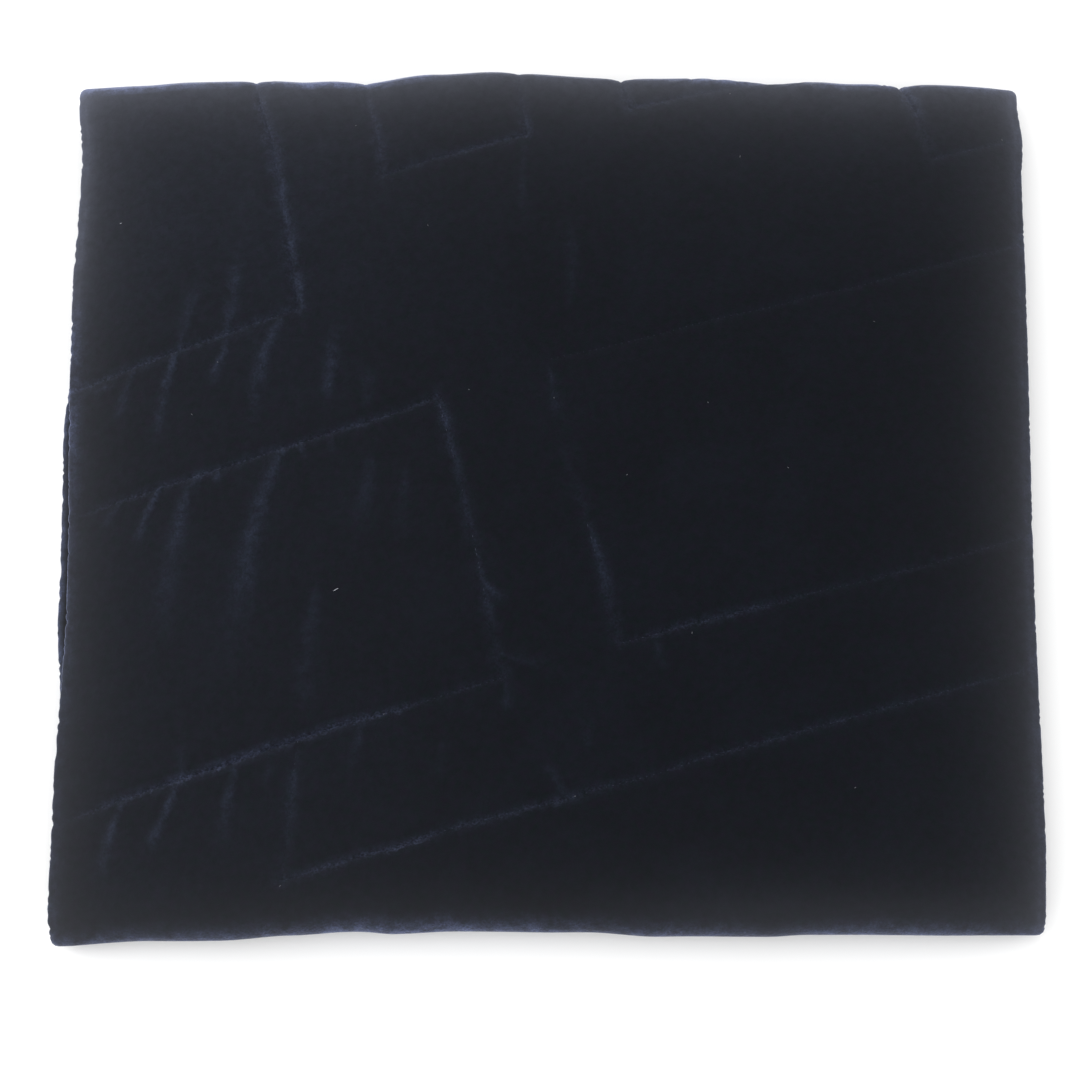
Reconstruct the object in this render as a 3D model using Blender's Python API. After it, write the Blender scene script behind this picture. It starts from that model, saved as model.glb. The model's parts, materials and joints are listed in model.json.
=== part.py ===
"""Evening stole: one long strip of lightly padded, quilted velvet, folded in half twice and laid flat.

Metres, +Z up. X runs from side seam to side seam. Y runs along the strip, from the thick front
roll at -Y to the back fold at +Y. The origin is the bottom centre of the folded stack.

From the top down the stack holds four stretches of the same strip. The top stretch turns under at
the back fold, and at the front it rolls round the two hidden stretches and meets the lowest one.
"""

from collections import namedtuple

import bmesh
import bpy
import numpy as np
from mathutils import Matrix, Vector
from mathutils.geometry import delaunay_2d_cdt

# The folded stack
WIDTH = 0.4985  # from side seam to side seam
BACK_Y = 0.2225  # outermost line of the back fold, before it strays
FRONT_Y = -0.2265  # outermost line of the front roll, before it strays
LAYER = 0.0060  # the quilted cloth, between its sewn lines
AIR = 0.0005  # between two stretches that lie on each other
PARTING = 0.0003  # where one stretch is parted from the next
NOSE = 0.0040  # how far in a side seam or an end hem rounds
EDGE_HEIGHT = 0.62  # height of the stack at its side seams, as a share of its height in the middle
EDGE_REACH = 0.070  # how far in from the side seams the stack has its full height

# The heights of the stretches, from the surface that the stack lies on
UNDER_TOP = LAYER
INNER_LOW = UNDER_TOP + AIR
INNER_TOP = INNER_LOW + 2 * LAYER + AIR
INNER_MID = (INNER_LOW + INNER_TOP) / 2
TOP_LOW = INNER_TOP + AIR

# The two turns of the top stretch: centre lines and inner radii
ROLL_Z = (TOP_LOW + LAYER) / 2
ROLL_IN = TOP_LOW - ROLL_Z
ROLL_Y = FRONT_Y + ROLL_IN + LAYER
FOLD_IN = AIR / 2
FOLD_Z = TOP_LOW - FOLD_IN
FOLD_Y = BACK_Y - FOLD_IN - LAYER
ROLL_LENGTH = np.pi * (ROLL_IN + LAYER / 2)
FOLD_LENGTH = np.pi * (FOLD_IN + LAYER / 2)

# The hidden stretches and the lowest one
INNER_TUCK = 0.0022  # how far the hidden stretches lie in from the side seams
INNER_BACK = BACK_Y - 0.0030  # the end hem of the lower hidden stretch
GROOVE = 0.012  # depth of the groove between the edges of the two hidden stretches
UNDER_BACK = BACK_Y - 0.0015  # the end hem of the lowest stretch
UNDER_RIGHT_TUCK = 0.0015

# The quilting: a narrow sunk line of stitches, with the padding rising on each side of it
SUNK = 0.0024
RISE_REACH = 0.0050
STITCHED_ROWS = (0.004, 0.012)  # rows of points beside a sewn line
STEP_ON_LINE = 0.012
STEP_BETWEEN = 0.020
STEP_ALONG_SEAM = 0.014
STEP_ACROSS_TURN = 0.025
ROLL_FACETS = 8
FOLD_FACETS = 6
NOSE_ANGLES = np.radians([90, 45, 0, -45, -90])
SAME_PLACE = 0.000001
CLEAR = 0.0030  # the least distance between points of neighbouring rows
CLEAR_BETWEEN = 0.0075  # the same for the points between the rows
GRID_ROW = np.sqrt(3) / 2  # height of a row in a grid of even triangles, for sides of 1

# Places across the stack where its height is worked out, as distances in from a side seam
HEIGHT_STEPS = (NOSE, 0.016, 0.032, 0.050, 0.070, 0.130)

Stray = namedtuple("Stray", "along out")
Sewn = namedtuple("Sewn", "block corners")
Ring = namedtuple("Ring", "height side side_at_front front back")

# How far each edge of the stack strays outwards from a true rectangle
BACK_STRAY = (
    Stray(along=-0.2450, out=-0.0008),
    Stray(along=-0.2150, out=-0.0009),
    Stray(along=-0.1900, out=0.0000),
    Stray(along=-0.1460, out=0.0009),
    Stray(along=-0.1300, out=0.0002),
    Stray(along=-0.1140, out=0.0010),
    Stray(along=-0.0960, out=0.0004),
    Stray(along=-0.0600, out=0.0044),
    Stray(along=-0.0220, out=0.0060),
    Stray(along=0.0290, out=0.0024),
    Stray(along=0.0820, out=0.0028),
    Stray(along=0.1240, out=0.0004),
    Stray(along=0.1350, out=0.0010),
    Stray(along=0.1610, out=-0.0008),
    Stray(along=0.2140, out=-0.0002),
    Stray(along=0.2460, out=-0.0009),
)
FRONT_STRAY = (
    Stray(along=-0.2430, out=0.0051),
    Stray(along=-0.2000, out=0.0031),
    Stray(along=-0.1650, out=0.0028),
    Stray(along=-0.1300, out=0.0003),
    Stray(along=-0.0930, out=-0.0015),
    Stray(along=-0.0770, out=-0.0004),
    Stray(along=-0.0500, out=-0.0018),
    Stray(along=0.0200, out=-0.0012),
    Stray(along=0.0560, out=0.0010),
    Stray(along=0.1080, out=0.0011),
    Stray(along=0.1300, out=0.0001),
    Stray(along=0.2400, out=0.0000),
)
LEFT_STRAY = (
    Stray(along=-0.2266, out=-0.0015),
    Stray(along=-0.2100, out=0.0000),
    Stray(along=-0.1600, out=-0.0006),
    Stray(along=-0.0500, out=-0.0042),
    Stray(along=0.0700, out=-0.0018),
    Stray(along=0.1070, out=-0.0016),
    Stray(along=0.1800, out=-0.0042),
    Stray(along=0.2156, out=-0.0018),
)
RIGHT_STRAY = (
    Stray(along=-0.2266, out=0.0004),
    Stray(along=-0.2150, out=0.0010),
    Stray(along=-0.1800, out=0.0021),
    Stray(along=-0.0600, out=0.0010),
    Stray(along=0.1300, out=0.0023),
    Stray(along=0.1700, out=0.0020),
    Stray(along=0.1900, out=0.0033),
    Stray(along=0.2156, out=0.0010),
)
# How far the lowest stretch peeks out past the left side seam of the top one
UNDER_PEEK = (
    Stray(along=-0.1900, out=-0.0015),
    Stray(along=-0.1150, out=0.0010),
    Stray(along=-0.0600, out=0.0060),
    Stray(along=0.0300, out=0.0048),
    Stray(along=0.1000, out=-0.0015),
)

# The sewn lines on the top stretch, corner to corner. Past FOLD_Y they run on round the back fold.
QUILTING = (
    Sewn(
        "back_left",
        (
            (-0.1555, 0.226), (-0.153, 0.210), (-0.138, 0.142), (-0.130, 0.096),
            (-0.246, 0.0565),
        ),
    ),
    Sewn(
        "back_middle",
        (
            (-0.0975, 0.226), (-0.089, 0.168), (-0.0135, 0.1865), (-0.016, 0.226),
        ),
    ),
    Sewn(
        "back_right",
        (
            (0.037, 0.226), (0.0425, 0.2045), (0.137, 0.2245),
        ),
    ),
    Sewn(
        "right_end",
        (
            (0.1865, 0.226), (0.191, 0.208), (0.200, 0.179), (0.246, 0.1925),
        ),
    ),
    Sewn(
        "right",
        (
            (0.246, 0.134), (0.205, 0.1213), (-0.001, 0.0655), (0.0125, 0.004),
            (0.035, -0.0815), (0.065, -0.0725), (0.200, -0.0377), (0.246, -0.0225),
        ),
    ),
    Sewn(
        "left",
        (
            (-0.246, -0.010), (-0.205, 0.0012), (-0.110, 0.030), (-0.0575, 0.0455),
            (-0.044, -0.009), (-0.0355, -0.050), (-0.0315, -0.070), (-0.024, -0.101),
            (-0.060, -0.1115), (-0.112, -0.1252), (-0.160, -0.1395), (-0.205, -0.154),
            (-0.246, -0.167),
        ),
    ),
    Sewn(
        "front",
        (
            (-0.126, -0.1295), (-0.132, -0.2005), (-0.063, -0.1812), (-0.050, -0.1773),
            (0.010, -0.161), (0.047, -0.149), (0.082, -0.1375), (0.143, -0.1212),
            (0.246, -0.092),
        ),
    ),
)

VELVET = (0.012, 0.014, 0.022, 1.0)
VELVET_HIDDEN = (0.010, 0.011, 0.017, 1.0)


def eased(table, along):
    """The strays of a table at places along its edge, easing from row to row without overshoot."""
    at = np.array([row.along for row in table])
    out = np.array([row.out for row in table])
    along = np.clip(along, at[0], at[-1])
    row = np.clip(np.searchsorted(at, along) - 1, 0, len(at) - 2)
    t = (along - at[row]) / (at[row + 1] - at[row])
    return out[row] + (out[row + 1] - out[row]) * t * t * (3 - 2 * t)


def height_share(x):
    """The stack thins to its side seams, where each stretch is only as thick as its seam."""
    inward = np.clip((WIDTH / 2 - np.abs(x)) / EDGE_REACH, 0, 1)
    return EDGE_HEIGHT + (1 - EDGE_HEIGHT) * np.sin(inward * np.pi / 2)


def place(x, y, z):
    """Points of the true rectangular stack, moved to where the cloth really lies."""
    x, y, z = (np.asarray(value, float) for value in (x, y, z))
    to_right = x / WIDTH + 0.5
    to_back = (y - FRONT_Y) / (BACK_Y - FRONT_Y)
    moved_x = x + eased(RIGHT_STRAY, y) * to_right - eased(LEFT_STRAY, y) * (1 - to_right)
    moved_y = y + eased(BACK_STRAY, x) * to_back - eased(FRONT_STRAY, x) * (1 - to_back)
    return np.stack([moved_x, moved_y, z * height_share(x)], axis=-1)


def wrap(x, v, lift):
    """Points of the top stretch. v is Y where it lies flat, and arc length where it turns;
    lift is the distance out from its inner face."""
    x, v, lift = np.broadcast_arrays(x, v, lift)
    fold = np.clip((v - FOLD_Y) / FOLD_LENGTH, 0, 1) * np.pi
    roll = np.clip((ROLL_Y - v) / ROLL_LENGTH, 0, 1) * np.pi
    y = np.clip(v, ROLL_Y, FOLD_Y)
    y = y + np.where(fold > 0, (FOLD_IN + lift) * np.sin(fold), 0)
    y = y - np.where(roll > 0, (ROLL_IN + lift) * np.sin(roll), 0)
    z = TOP_LOW + lift
    z = np.where(fold > 0, FOLD_Z + (FOLD_IN + lift) * np.cos(fold), z)
    z = np.where(roll > 0, ROLL_Z + (ROLL_IN + lift) * np.cos(roll), z)
    return place(x, y, z)


def from_sewn_lines(points):
    """The distance of each (x, v) point from the nearest sewn line."""
    points = np.atleast_2d(points)
    nearest = np.full(len(points), np.inf)
    for sewn in QUILTING:
        corners = np.array(sewn.corners)
        for start, end in zip(corners[:-1], corners[1:]):
            run = end - start
            share = np.clip((points - start) @ run / (run @ run), 0, 1)
            away = np.linalg.norm(points - start - share[:, None] * run, axis=1)
            nearest = np.minimum(nearest, away)
    return nearest


def quilted_lift(points):
    """How far the outer face stands out from the inner one: least on the sewn lines."""
    return LAYER - SUNK * np.exp(-from_sewn_lines(points) / RISE_REACH)


def spread(start, end, step):
    """Evenly spaced values from start to end, at most step apart."""
    return np.linspace(start, end, int(np.ceil(abs(end - start) / step)) + 1)


def columns():
    """X of the columns of points that all the stretches share, so that they lie alike."""
    inward = np.array(HEIGHT_STEPS)
    return np.concatenate([-WIDTH / 2 + inward, [0.0], WIDTH / 2 - inward[::-1]])


def seam_crossings():
    """V of the places where a sewn line runs into a side seam."""
    found = []
    for sewn in QUILTING:
        found += [v for x, v in sewn.corners if abs(x) > WIDTH / 2 - 2 * NOSE]
    return found


def stations():
    """V of the cross-sections of the top stretch, from under the roll to under the fold."""
    flat = spread(ROLL_Y, FOLD_Y, STEP_ALONG_SEAM)
    crossings = seam_crossings()
    flat = [v for v in flat if all(abs(v - c) > STEP_ALONG_SEAM / 3 for c in crossings)]
    roll = ROLL_Y - np.linspace(1, 0, ROLL_FACETS + 1) * ROLL_LENGTH
    fold = FOLD_Y + np.linspace(0, 1, FOLD_FACETS + 1) * FOLD_LENGTH
    return np.unique(np.round(np.concatenate([roll, flat, crossings, fold]), 6))


def points_along(start, end, step):
    """Evenly spaced points from start to end, both included."""
    start, end = np.array(start), np.array(end)
    shares = spread(0.0, 1.0, step / np.linalg.norm(end - start))
    return start + shares[:, None] * (end - start)


def inside_face(points, border, low, high):
    """The points that lie clear of the border of the outer face."""
    clear = (np.abs(points[:, 0]) < WIDTH / 2 - NOSE - border) & (points[:, 1] > low + border)
    return points[clear & (points[:, 1] < high - border)]


def turning_rows(v_rows):
    """(number of the cross-section, points across it) for each one where the cloth turns."""
    across = spread(-WIDTH / 2 + NOSE, WIDTH / 2 - NOSE, STEP_ACROSS_TURN)[1:-1]
    inner_rows = list(enumerate(v_rows))[1:-1]
    turning = [(n, v) for n, v in inner_rows if v < ROLL_Y + SAME_PLACE or v > FOLD_Y - SAME_PLACE]
    return [(n, np.stack([across, np.full(len(across), v)], axis=1)) for n, v in turning]


def filler_points(low, high):
    """A plain triangular grid of points over the padding between the sewn lines."""
    grid = []
    for count, v in enumerate(spread(low, high, STEP_BETWEEN * GRID_ROW)):
        start = -WIDTH / 2 + (count % 2) * STEP_BETWEEN / 2
        grid += [(x, v) for x in np.arange(start, WIDTH / 2, STEP_BETWEEN)]
    grid = np.array(grid)
    return grid[from_sewn_lines(grid) > STITCHED_ROWS[-1] + STEP_BETWEEN / 3]


def line_points(last_row):
    """The points on each sewn line. Past FOLD_Y there is only the last one, on this row."""
    runs = []
    for sewn in QUILTING:
        line = [np.array(sewn.corners[0])]
        for start, end in zip(sewn.corners[:-1], sewn.corners[1:]):
            line += list(points_along(start, end, STEP_ON_LINE)[1:])
        kept = [point for point in line if point[1] < FOLD_Y - CLEAR]
        if sewn.corners[0][1] > FOLD_Y:
            kept.insert(0, at_row(sewn.corners[1], sewn.corners[0], last_row))
        if sewn.corners[-1][1] > FOLD_Y:
            kept.append(at_row(sewn.corners[-2], sewn.corners[-1], last_row))
        runs.append(np.array(kept))
    return runs


def at_row(start, end, v):
    """Where a straight piece of sewn line crosses a row."""
    start, end = np.array(start), np.array(end)
    return start + (end - start) * (v - start[1]) / (end[1] - start[1])


def rows_beside_lines():
    """Rows of points on each side of each straight piece of sewn line, clear of the other lines."""
    rows = []
    for sewn in QUILTING:
        for start, end in zip(sewn.corners[:-1], sewn.corners[1:]):
            on_line = points_along(start, end, STEP_ON_LINE)
            run = np.subtract(end, start) / np.linalg.norm(np.subtract(end, start))
            side = np.array([-run[1], run[0]])
            for away in (-STITCHED_ROWS[1], -STITCHED_ROWS[0], STITCHED_ROWS[0], STITCHED_ROWS[1]):
                row = on_line + side * away
                rows.append(row[np.abs(from_sewn_lines(row) - abs(away)) < SAME_PLACE])
    return rows


def thinned(points, kept, least):
    """The points that stay at least this far from the kept ones and from each other."""
    kept = [Vector(p) for p in kept]
    chosen = []
    for point in points:
        here = Vector(point)
        if all((here - other).length > least for other in kept):
            kept.append(here)
            chosen.append(point)
    return chosen


class Mesh:
    """Vertices and faces gathered for one closed piece."""

    def __init__(self):
        self.points = []
        self.faces = []

    def add(self, places):
        """Adds an array of points and returns their numbers in the same layout."""
        flat = np.reshape(places, (-1, 3))
        first = len(self.points)
        self.points += [tuple(p) for p in flat]
        return np.arange(first, first + len(flat)).reshape(np.shape(places)[:-1])

    def strip(self, one, other):
        """Joins two rows of numbers of the same length by quads."""
        for k in range(len(one) - 1):
            self.faces.append((one[k], one[k + 1], other[k + 1], other[k]))

    def grid(self, numbers):
        for one, other in zip(numbers[:-1], numbers[1:]):
            self.strip(one, other)

    def piece(self, name, colour):
        """Makes the object: one closed body, its faces pointing out, smooth but for its corners."""
        mesh = bpy.data.meshes.new(name)
        mesh.from_pydata(self.points, [], [tuple(int(n) for n in face) for face in self.faces])
        body = bmesh.new()
        body.from_mesh(mesh)
        bmesh.ops.recalc_face_normals(body, faces=body.faces)
        if body.calc_volume(signed=True) < 0:
            bmesh.ops.reverse_faces(body, faces=body.faces)
        bmesh.ops.triangulate(body, faces=body.faces)
        body.to_mesh(mesh)
        body.free()
        mesh.shade_smooth()
        mesh.set_sharp_from_angle(angle=np.radians(50))
        mesh.materials.append(velvet(name, colour))
        made = bpy.data.objects.new(name, mesh)
        bpy.context.scene.collection.objects.link(made)
        return made


def velvet(name, colour):
    material = bpy.data.materials.new(name + "_velvet")
    material.use_nodes = True
    surface = material.node_tree.nodes["Principled BSDF"]
    surface.inputs["Base Color"].default_value = colour
    surface.inputs["Roughness"].default_value = 0.95
    surface.inputs["Metallic"].default_value = 0.0
    surface.inputs["Sheen Weight"].default_value = 0.5
    return material


def triangulate_face(border, v_rows):
    """Triangles of the outer face in (x, v), with edges along the sewn lines and the turns. The
    border starts with the right edge, from the first cross-section to the last."""
    last_on_left = len(border) - (len(columns()) - 2) - 1
    places = list(border)
    edges = []

    def chain(points, before, after):
        first = len(places)
        places.extend(points)
        numbers = [*before, *range(first, len(places)), *after]
        edges.extend(zip(numbers[:-1], numbers[1:]))

    def at_seam(point):
        if abs(point[0]) < WIDTH / 2 - 2 * NOSE:
            return []
        station = int(np.abs(v_rows - point[1]).argmin())
        return [station if point[0] > 0 else last_on_left - station]

    for run in line_points(v_rows[-2]):
        chain(inside_face(run, CLEAR, v_rows[0], v_rows[-1]), at_seam(run[0]), at_seam(run[-1]))
    for number, points in turning_rows(v_rows):
        chain(points, [last_on_left - number], [number])
    for row in rows_beside_lines():
        row = thinned(inside_face(row, CLEAR, ROLL_Y, FOLD_Y), places, CLEAR)
        gaps = np.linalg.norm(np.diff(row, axis=0), axis=1) if len(row) > 1 else []
        breaks = np.nonzero(np.array(gaps) > 1.5 * STEP_ON_LINE)[0] + 1
        for part in np.split(np.reshape(row, (-1, 2)), breaks):
            chain(part, [], [])
    filler = inside_face(filler_points(ROLL_Y, FOLD_Y), CLEAR_BETWEEN, ROLL_Y, FOLD_Y)
    places += thinned(filler, places, CLEAR_BETWEEN)
    outline = [list(range(len(border)))]
    found = delaunay_2d_cdt([Vector(p) for p in places], edges, outline, 1, SAME_PLACE)
    return np.array([tuple(p) for p in found[0]]), found[2], found[3]


def top_stretch():
    """The stretch that shows: quilted and raised outside, plain inside, turned at both ends."""
    v_rows, x_columns = stations(), columns()
    left = [(x_columns[0], v) for v in v_rows]
    right = [(x_columns[-1], v) for v in v_rows]
    end = [(x, v_rows[-1]) for x in x_columns]
    start = [(x, v_rows[0]) for x in x_columns]
    border = np.array(right + end[-2:0:-1] + left[::-1] + start[1:-1])
    flat_points, triangles, came_from = triangulate_face(border, v_rows)

    cloth = Mesh()
    outer = cloth.add(wrap(flat_points[:, 0], flat_points[:, 1], quilted_lift(flat_points)))
    cloth.faces += [tuple(outer[list(corners)]) for corners in triangles]
    at_border = {source: outer[n] for n, sources in enumerate(came_from) for source in sources}
    ring = [at_border[n] for n in range(len(border))]
    rows, ends = len(v_rows), len(x_columns) - 2
    right_edge = ring[:rows]
    left_edge = ring[rows + ends : 2 * rows + ends][::-1]
    end_edge = [left_edge[-1]] + ring[rows : rows + ends][::-1] + [right_edge[-1]]
    start_edge = [left_edge[0]] + ring[2 * rows + ends :] + [right_edge[0]]

    inner = cloth.add(wrap(x_columns[None, :], v_rows[:, None], 0.0))
    cloth.grid(inner)
    cloth.strip(start_edge, inner[0])
    cloth.strip(end_edge, inner[-1])
    for side, edge, inner_edge in ((-1, left_edge, inner[:, 0]), (1, right_edge, inner[:, -1])):
        thick = quilted_lift(np.stack([np.full(rows, side * x_columns[-1]), v_rows], axis=1))
        nose = [edge]
        for angle in NOSE_ANGLES[1:-1]:
            x = side * (x_columns[-1] + NOSE * np.cos(angle))
            nose.append(cloth.add(wrap(x, v_rows, thick * (1 + np.sin(angle)) / 2)))
        nose.append(inner_edge)
        cloth.grid(nose)
        cloth.faces += [tuple(row[k] for row in nose) for k in (0, -1)]
    return cloth.piece("top_stretch", VELVET)


def ring_points(ring, left, right, front, back, x_columns, y_rows):
    """A grid of (x, y), of which a level's outline is the border and its face the whole."""
    y = np.concatenate([[front + ring.front], y_rows, [back - ring.back]])
    layered = np.clip((y - ROLL_Y) / GROOVE, 0, 1)
    tuck = ring.side_at_front + (ring.side - ring.side_at_front) * layered
    x = np.tile(x_columns, (len(y), 1))
    x[:, 0] = left(y) + tuck
    x[:, -1] = right(y) - tuck
    return place(x, np.repeat(y[:, None], len(x_columns), axis=1), ring.height)


def border_of(grid):
    """What lies round the edge of a grid, as one loop."""
    return np.concatenate([grid[0, :-1], grid[:-1, -1], grid[-1, :0:-1], grid[:0:-1, 0]])


def stacked_piece(name, colour, rings, left, right, front, back, y_rows):
    """A flat piece through rings, one above the other, closed by a face at each end."""
    x_columns = columns()
    cloth = Mesh()
    loops = []
    for level, ring in enumerate(rings):
        places = ring_points(ring, left, right, front, back, x_columns, y_rows)
        if level in (0, len(rings) - 1):
            numbers = cloth.add(places)
            cloth.grid(numbers)
            loops.append(border_of(numbers))
        else:
            loops.append(cloth.add(border_of(places)))
    for one, other in zip(loops[:-1], loops[1:]):
        cloth.strip([*one, one[0]], [*other, other[0]])
    return cloth.piece(name, colour)


def nose_rings(low, high, inner_side, front, back):
    """The rounded edge of one stretch, from its lower face to its upper one. inner_side is the
    half, -1 or 1, that is a groove at the sides and runs straight where the cloth turns."""
    rings = []
    for angle in -NOSE_ANGLES:
        tuck = NOSE * (1 - np.cos(angle))
        height = (low + high) / 2 + (high - low) / 2 * np.sin(angle)
        at_front = 0.0 if inner_side * np.sin(angle) > 0 else tuck
        rings.append(Ring(height, tuck, at_front, front(height), back + tuck))
    return rings


def under_stretch():
    """The lowest stretch: flat on the surface, peeking out at the left side, hemmed at the back."""
    rings = nose_rings(0.0, UNDER_TOP, 0, lambda height: 0.0, 0.0)
    y_rows = spread(ROLL_Y, UNDER_BACK, STEP_ALONG_SEAM)[1:-1]
    return stacked_piece(
        "under_stretch",
        VELVET,
        rings,
        left=lambda y: -WIDTH / 2 - eased(UNDER_PEEK, y),
        right=lambda y: np.full(len(y), WIDTH / 2 - UNDER_RIGHT_TUCK),
        front=ROLL_Y + PARTING,
        back=UNDER_BACK,
        y_rows=y_rows,
    )


def inner_layers():
    """The two hidden stretches as one solid: a round turn at the front, a groove at the edges."""
    radius = (INNER_TOP - INNER_LOW) / 2
    step_in = INNER_BACK - (FOLD_Y - PARTING)

    def round_turn(height):
        return radius - np.sqrt(max(radius**2 - (height - INNER_MID) ** 2, 0.0))

    lower = nose_rings(INNER_LOW, INNER_LOW + LAYER, 1, round_turn, 0.0)
    upper = nose_rings(INNER_TOP - LAYER, INNER_TOP, -1, round_turn, step_in)
    groove = Ring(INNER_MID, GROOVE, 0.0, 0.0, step_in + GROOVE)
    front = ROLL_Y - radius
    y_rows = spread(front + 2 * radius, INNER_BACK - step_in - 2 * GROOVE, 2 * STEP_ALONG_SEAM)
    return stacked_piece(
        "inner_layers",
        VELVET_HIDDEN,
        [*lower, groove, *upper],
        left=lambda y: np.full(len(y), -WIDTH / 2 + INNER_TUCK),
        right=lambda y: np.full(len(y), WIDTH / 2 - INNER_TUCK),
        front=front,
        back=INNER_BACK,
        y_rows=y_rows,
    )


def clear_scene():
    for old in list(bpy.data.objects):
        bpy.data.objects.remove(old, do_unlink=True)


def centre(pieces):
    """Moves the pieces so that X = Y = 0 is the middle of the folded stack's outline."""
    places = np.array([vertex.co for made in pieces for vertex in made.data.vertices])
    middle = (places.min(axis=0) + places.max(axis=0)) / 2
    for made in pieces:
        made.data.transform(Matrix.Translation((-middle[0], -middle[1], 0.0)))


def main():
    clear_scene()
    centre([under_stretch(), inner_layers(), top_stretch()])


main()
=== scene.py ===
"""Dressed evening stole: padded, quilted velvet, folded in half twice and laid flat on a pale floor.

Metres, +Z up. X runs from side seam to side seam and Y along the strip, from the thick front roll
at -Y to the back fold at +Y. The folded form is worked out as a true rectangular stack first, and
then each edge is moved to where the cloth really lies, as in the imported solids.
"""

import json

from collections import namedtuple
from math import ceil, cos, pi, radians, sin

import bpy
import numpy as np
from bpy.props import FloatProperty, FloatVectorProperty, IntProperty, PointerProperty
from mathutils import Matrix, Vector, noise
from mathutils.geometry import delaunay_2d_cdt

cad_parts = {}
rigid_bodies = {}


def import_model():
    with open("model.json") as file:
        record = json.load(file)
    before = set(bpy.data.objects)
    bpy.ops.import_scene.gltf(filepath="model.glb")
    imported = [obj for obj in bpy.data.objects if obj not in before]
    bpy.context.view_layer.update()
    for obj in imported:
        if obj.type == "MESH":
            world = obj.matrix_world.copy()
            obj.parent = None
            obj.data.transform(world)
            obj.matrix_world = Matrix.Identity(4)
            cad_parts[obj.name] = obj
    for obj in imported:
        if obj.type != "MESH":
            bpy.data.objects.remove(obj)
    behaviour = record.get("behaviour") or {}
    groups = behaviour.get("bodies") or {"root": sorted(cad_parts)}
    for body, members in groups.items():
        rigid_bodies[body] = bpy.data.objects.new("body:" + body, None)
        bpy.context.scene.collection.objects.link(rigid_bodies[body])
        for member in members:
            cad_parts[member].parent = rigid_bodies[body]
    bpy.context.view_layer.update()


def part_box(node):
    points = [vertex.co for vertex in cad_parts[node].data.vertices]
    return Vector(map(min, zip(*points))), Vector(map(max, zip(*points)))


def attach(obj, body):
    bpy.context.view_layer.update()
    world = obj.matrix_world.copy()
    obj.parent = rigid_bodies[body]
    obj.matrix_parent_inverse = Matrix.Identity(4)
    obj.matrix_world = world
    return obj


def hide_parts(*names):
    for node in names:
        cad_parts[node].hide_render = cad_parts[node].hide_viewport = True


bl_info = {
    "name": "Evening Stole",
    "version": (1, 0, 0),
    "blender": (4, 5, 0),
    "location": "View3D > Sidebar > Stole",
    "description": "Makes a folded evening stole of quilted velvet, its sewing and its studio",
    "category": "Object",
}

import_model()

# The folded stack, as in the solids
WIDTH = 0.4985
BACK_Y = 0.2225
FRONT_Y = -0.2265
LAYER = 0.0060
AIR = 0.0005
PARTING = 0.0003
NOSE = 0.0040
EDGE_HEIGHT = 0.62
EDGE_REACH = 0.070
SIDE = WIDTH / 2 - NOSE
INNER_LOW = LAYER + AIR
INNER_TOP = INNER_LOW + 2 * LAYER + AIR
INNER_MID = (INNER_LOW + INNER_TOP) / 2
TOP_LOW = INNER_TOP + AIR
ROLL_Z = (TOP_LOW + LAYER) / 2
ROLL_IN = TOP_LOW - ROLL_Z
ROLL_Y = FRONT_Y + ROLL_IN + LAYER
FOLD_IN = AIR / 2
FOLD_Z = TOP_LOW - FOLD_IN
FOLD_Y = BACK_Y - FOLD_IN - LAYER
ROLL_LENGTH = pi * (ROLL_IN + LAYER / 2)
FOLD_LENGTH = pi * (FOLD_IN + LAYER / 2)
INNER_TUCK = 0.0022
INNER_BACK = BACK_Y - 0.0030
UNDER_BACK = BACK_Y - 0.0015
UNDER_RIGHT_TUCK = 0.0015
UNDER_SETTLES = 0.030  # length over which the lowest stretch reaches its own side lines

# V is Y where the outer cloth lies flat on top, and goes on as length along it where it turns
ROLL_END = ROLL_Y - ROLL_LENGTH
OUTER_HEM = ROLL_END - (UNDER_BACK - ROLL_Y)
FOLD_END = FOLD_Y + FOLD_LENGTH

# The turn of the two hidden stretches inside the front roll
TURN_IN = AIR / 2
TURN_Y = ROLL_Y
TURN_LENGTH = pi * (TURN_IN + LAYER / 2)
INNER_TOP_LENGTH = FOLD_Y - PARTING - TURN_Y
INNER_LOW_LENGTH = INNER_BACK - TURN_Y

# How finely the cloth is divided: along its seams, beside its sewn lines, on top, below and round
# its edge, and how much painted sheen each loop round its edge gets, most along the rim itself
SEAM_STEP = 0.0014
SEAM_ROWS = (0.0012, 0.0026, 0.0044, 0.0068)
LINE_STEP = 0.0017
LINE_OFFSETS = (0.0, 0.0007, -0.0007, 0.0015, -0.0015, 0.0026, -0.0026, 0.0045, -0.0045, 0.0072, -0.0072)
TOP_STEP = 0.0024
UNDER_STEP = 0.024
ACROSS = (0.0, 0.010, 0.024, 0.044, 0.068, 0.126)
EDGE_ANGLES = np.radians([62, 32, 4, -25, -58])
PAINTED_EDGE_GLEAM = (0.02, 0.12, 1.0, 0.6, 0.1)

# How far the loose points keep from a sewn line, a seam's rows, the border, the fold and each other
FIELD_CLEAR = 0.0088
SEAM_CLEAR = 0.0015
BORDER_CLEAR = 0.0009
FOLD_CLEAR = 0.0006
LEAST_APART = 0.0006
TINY = 1e-7

Sewn = namedtuple("Sewn", "corners pull")

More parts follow.
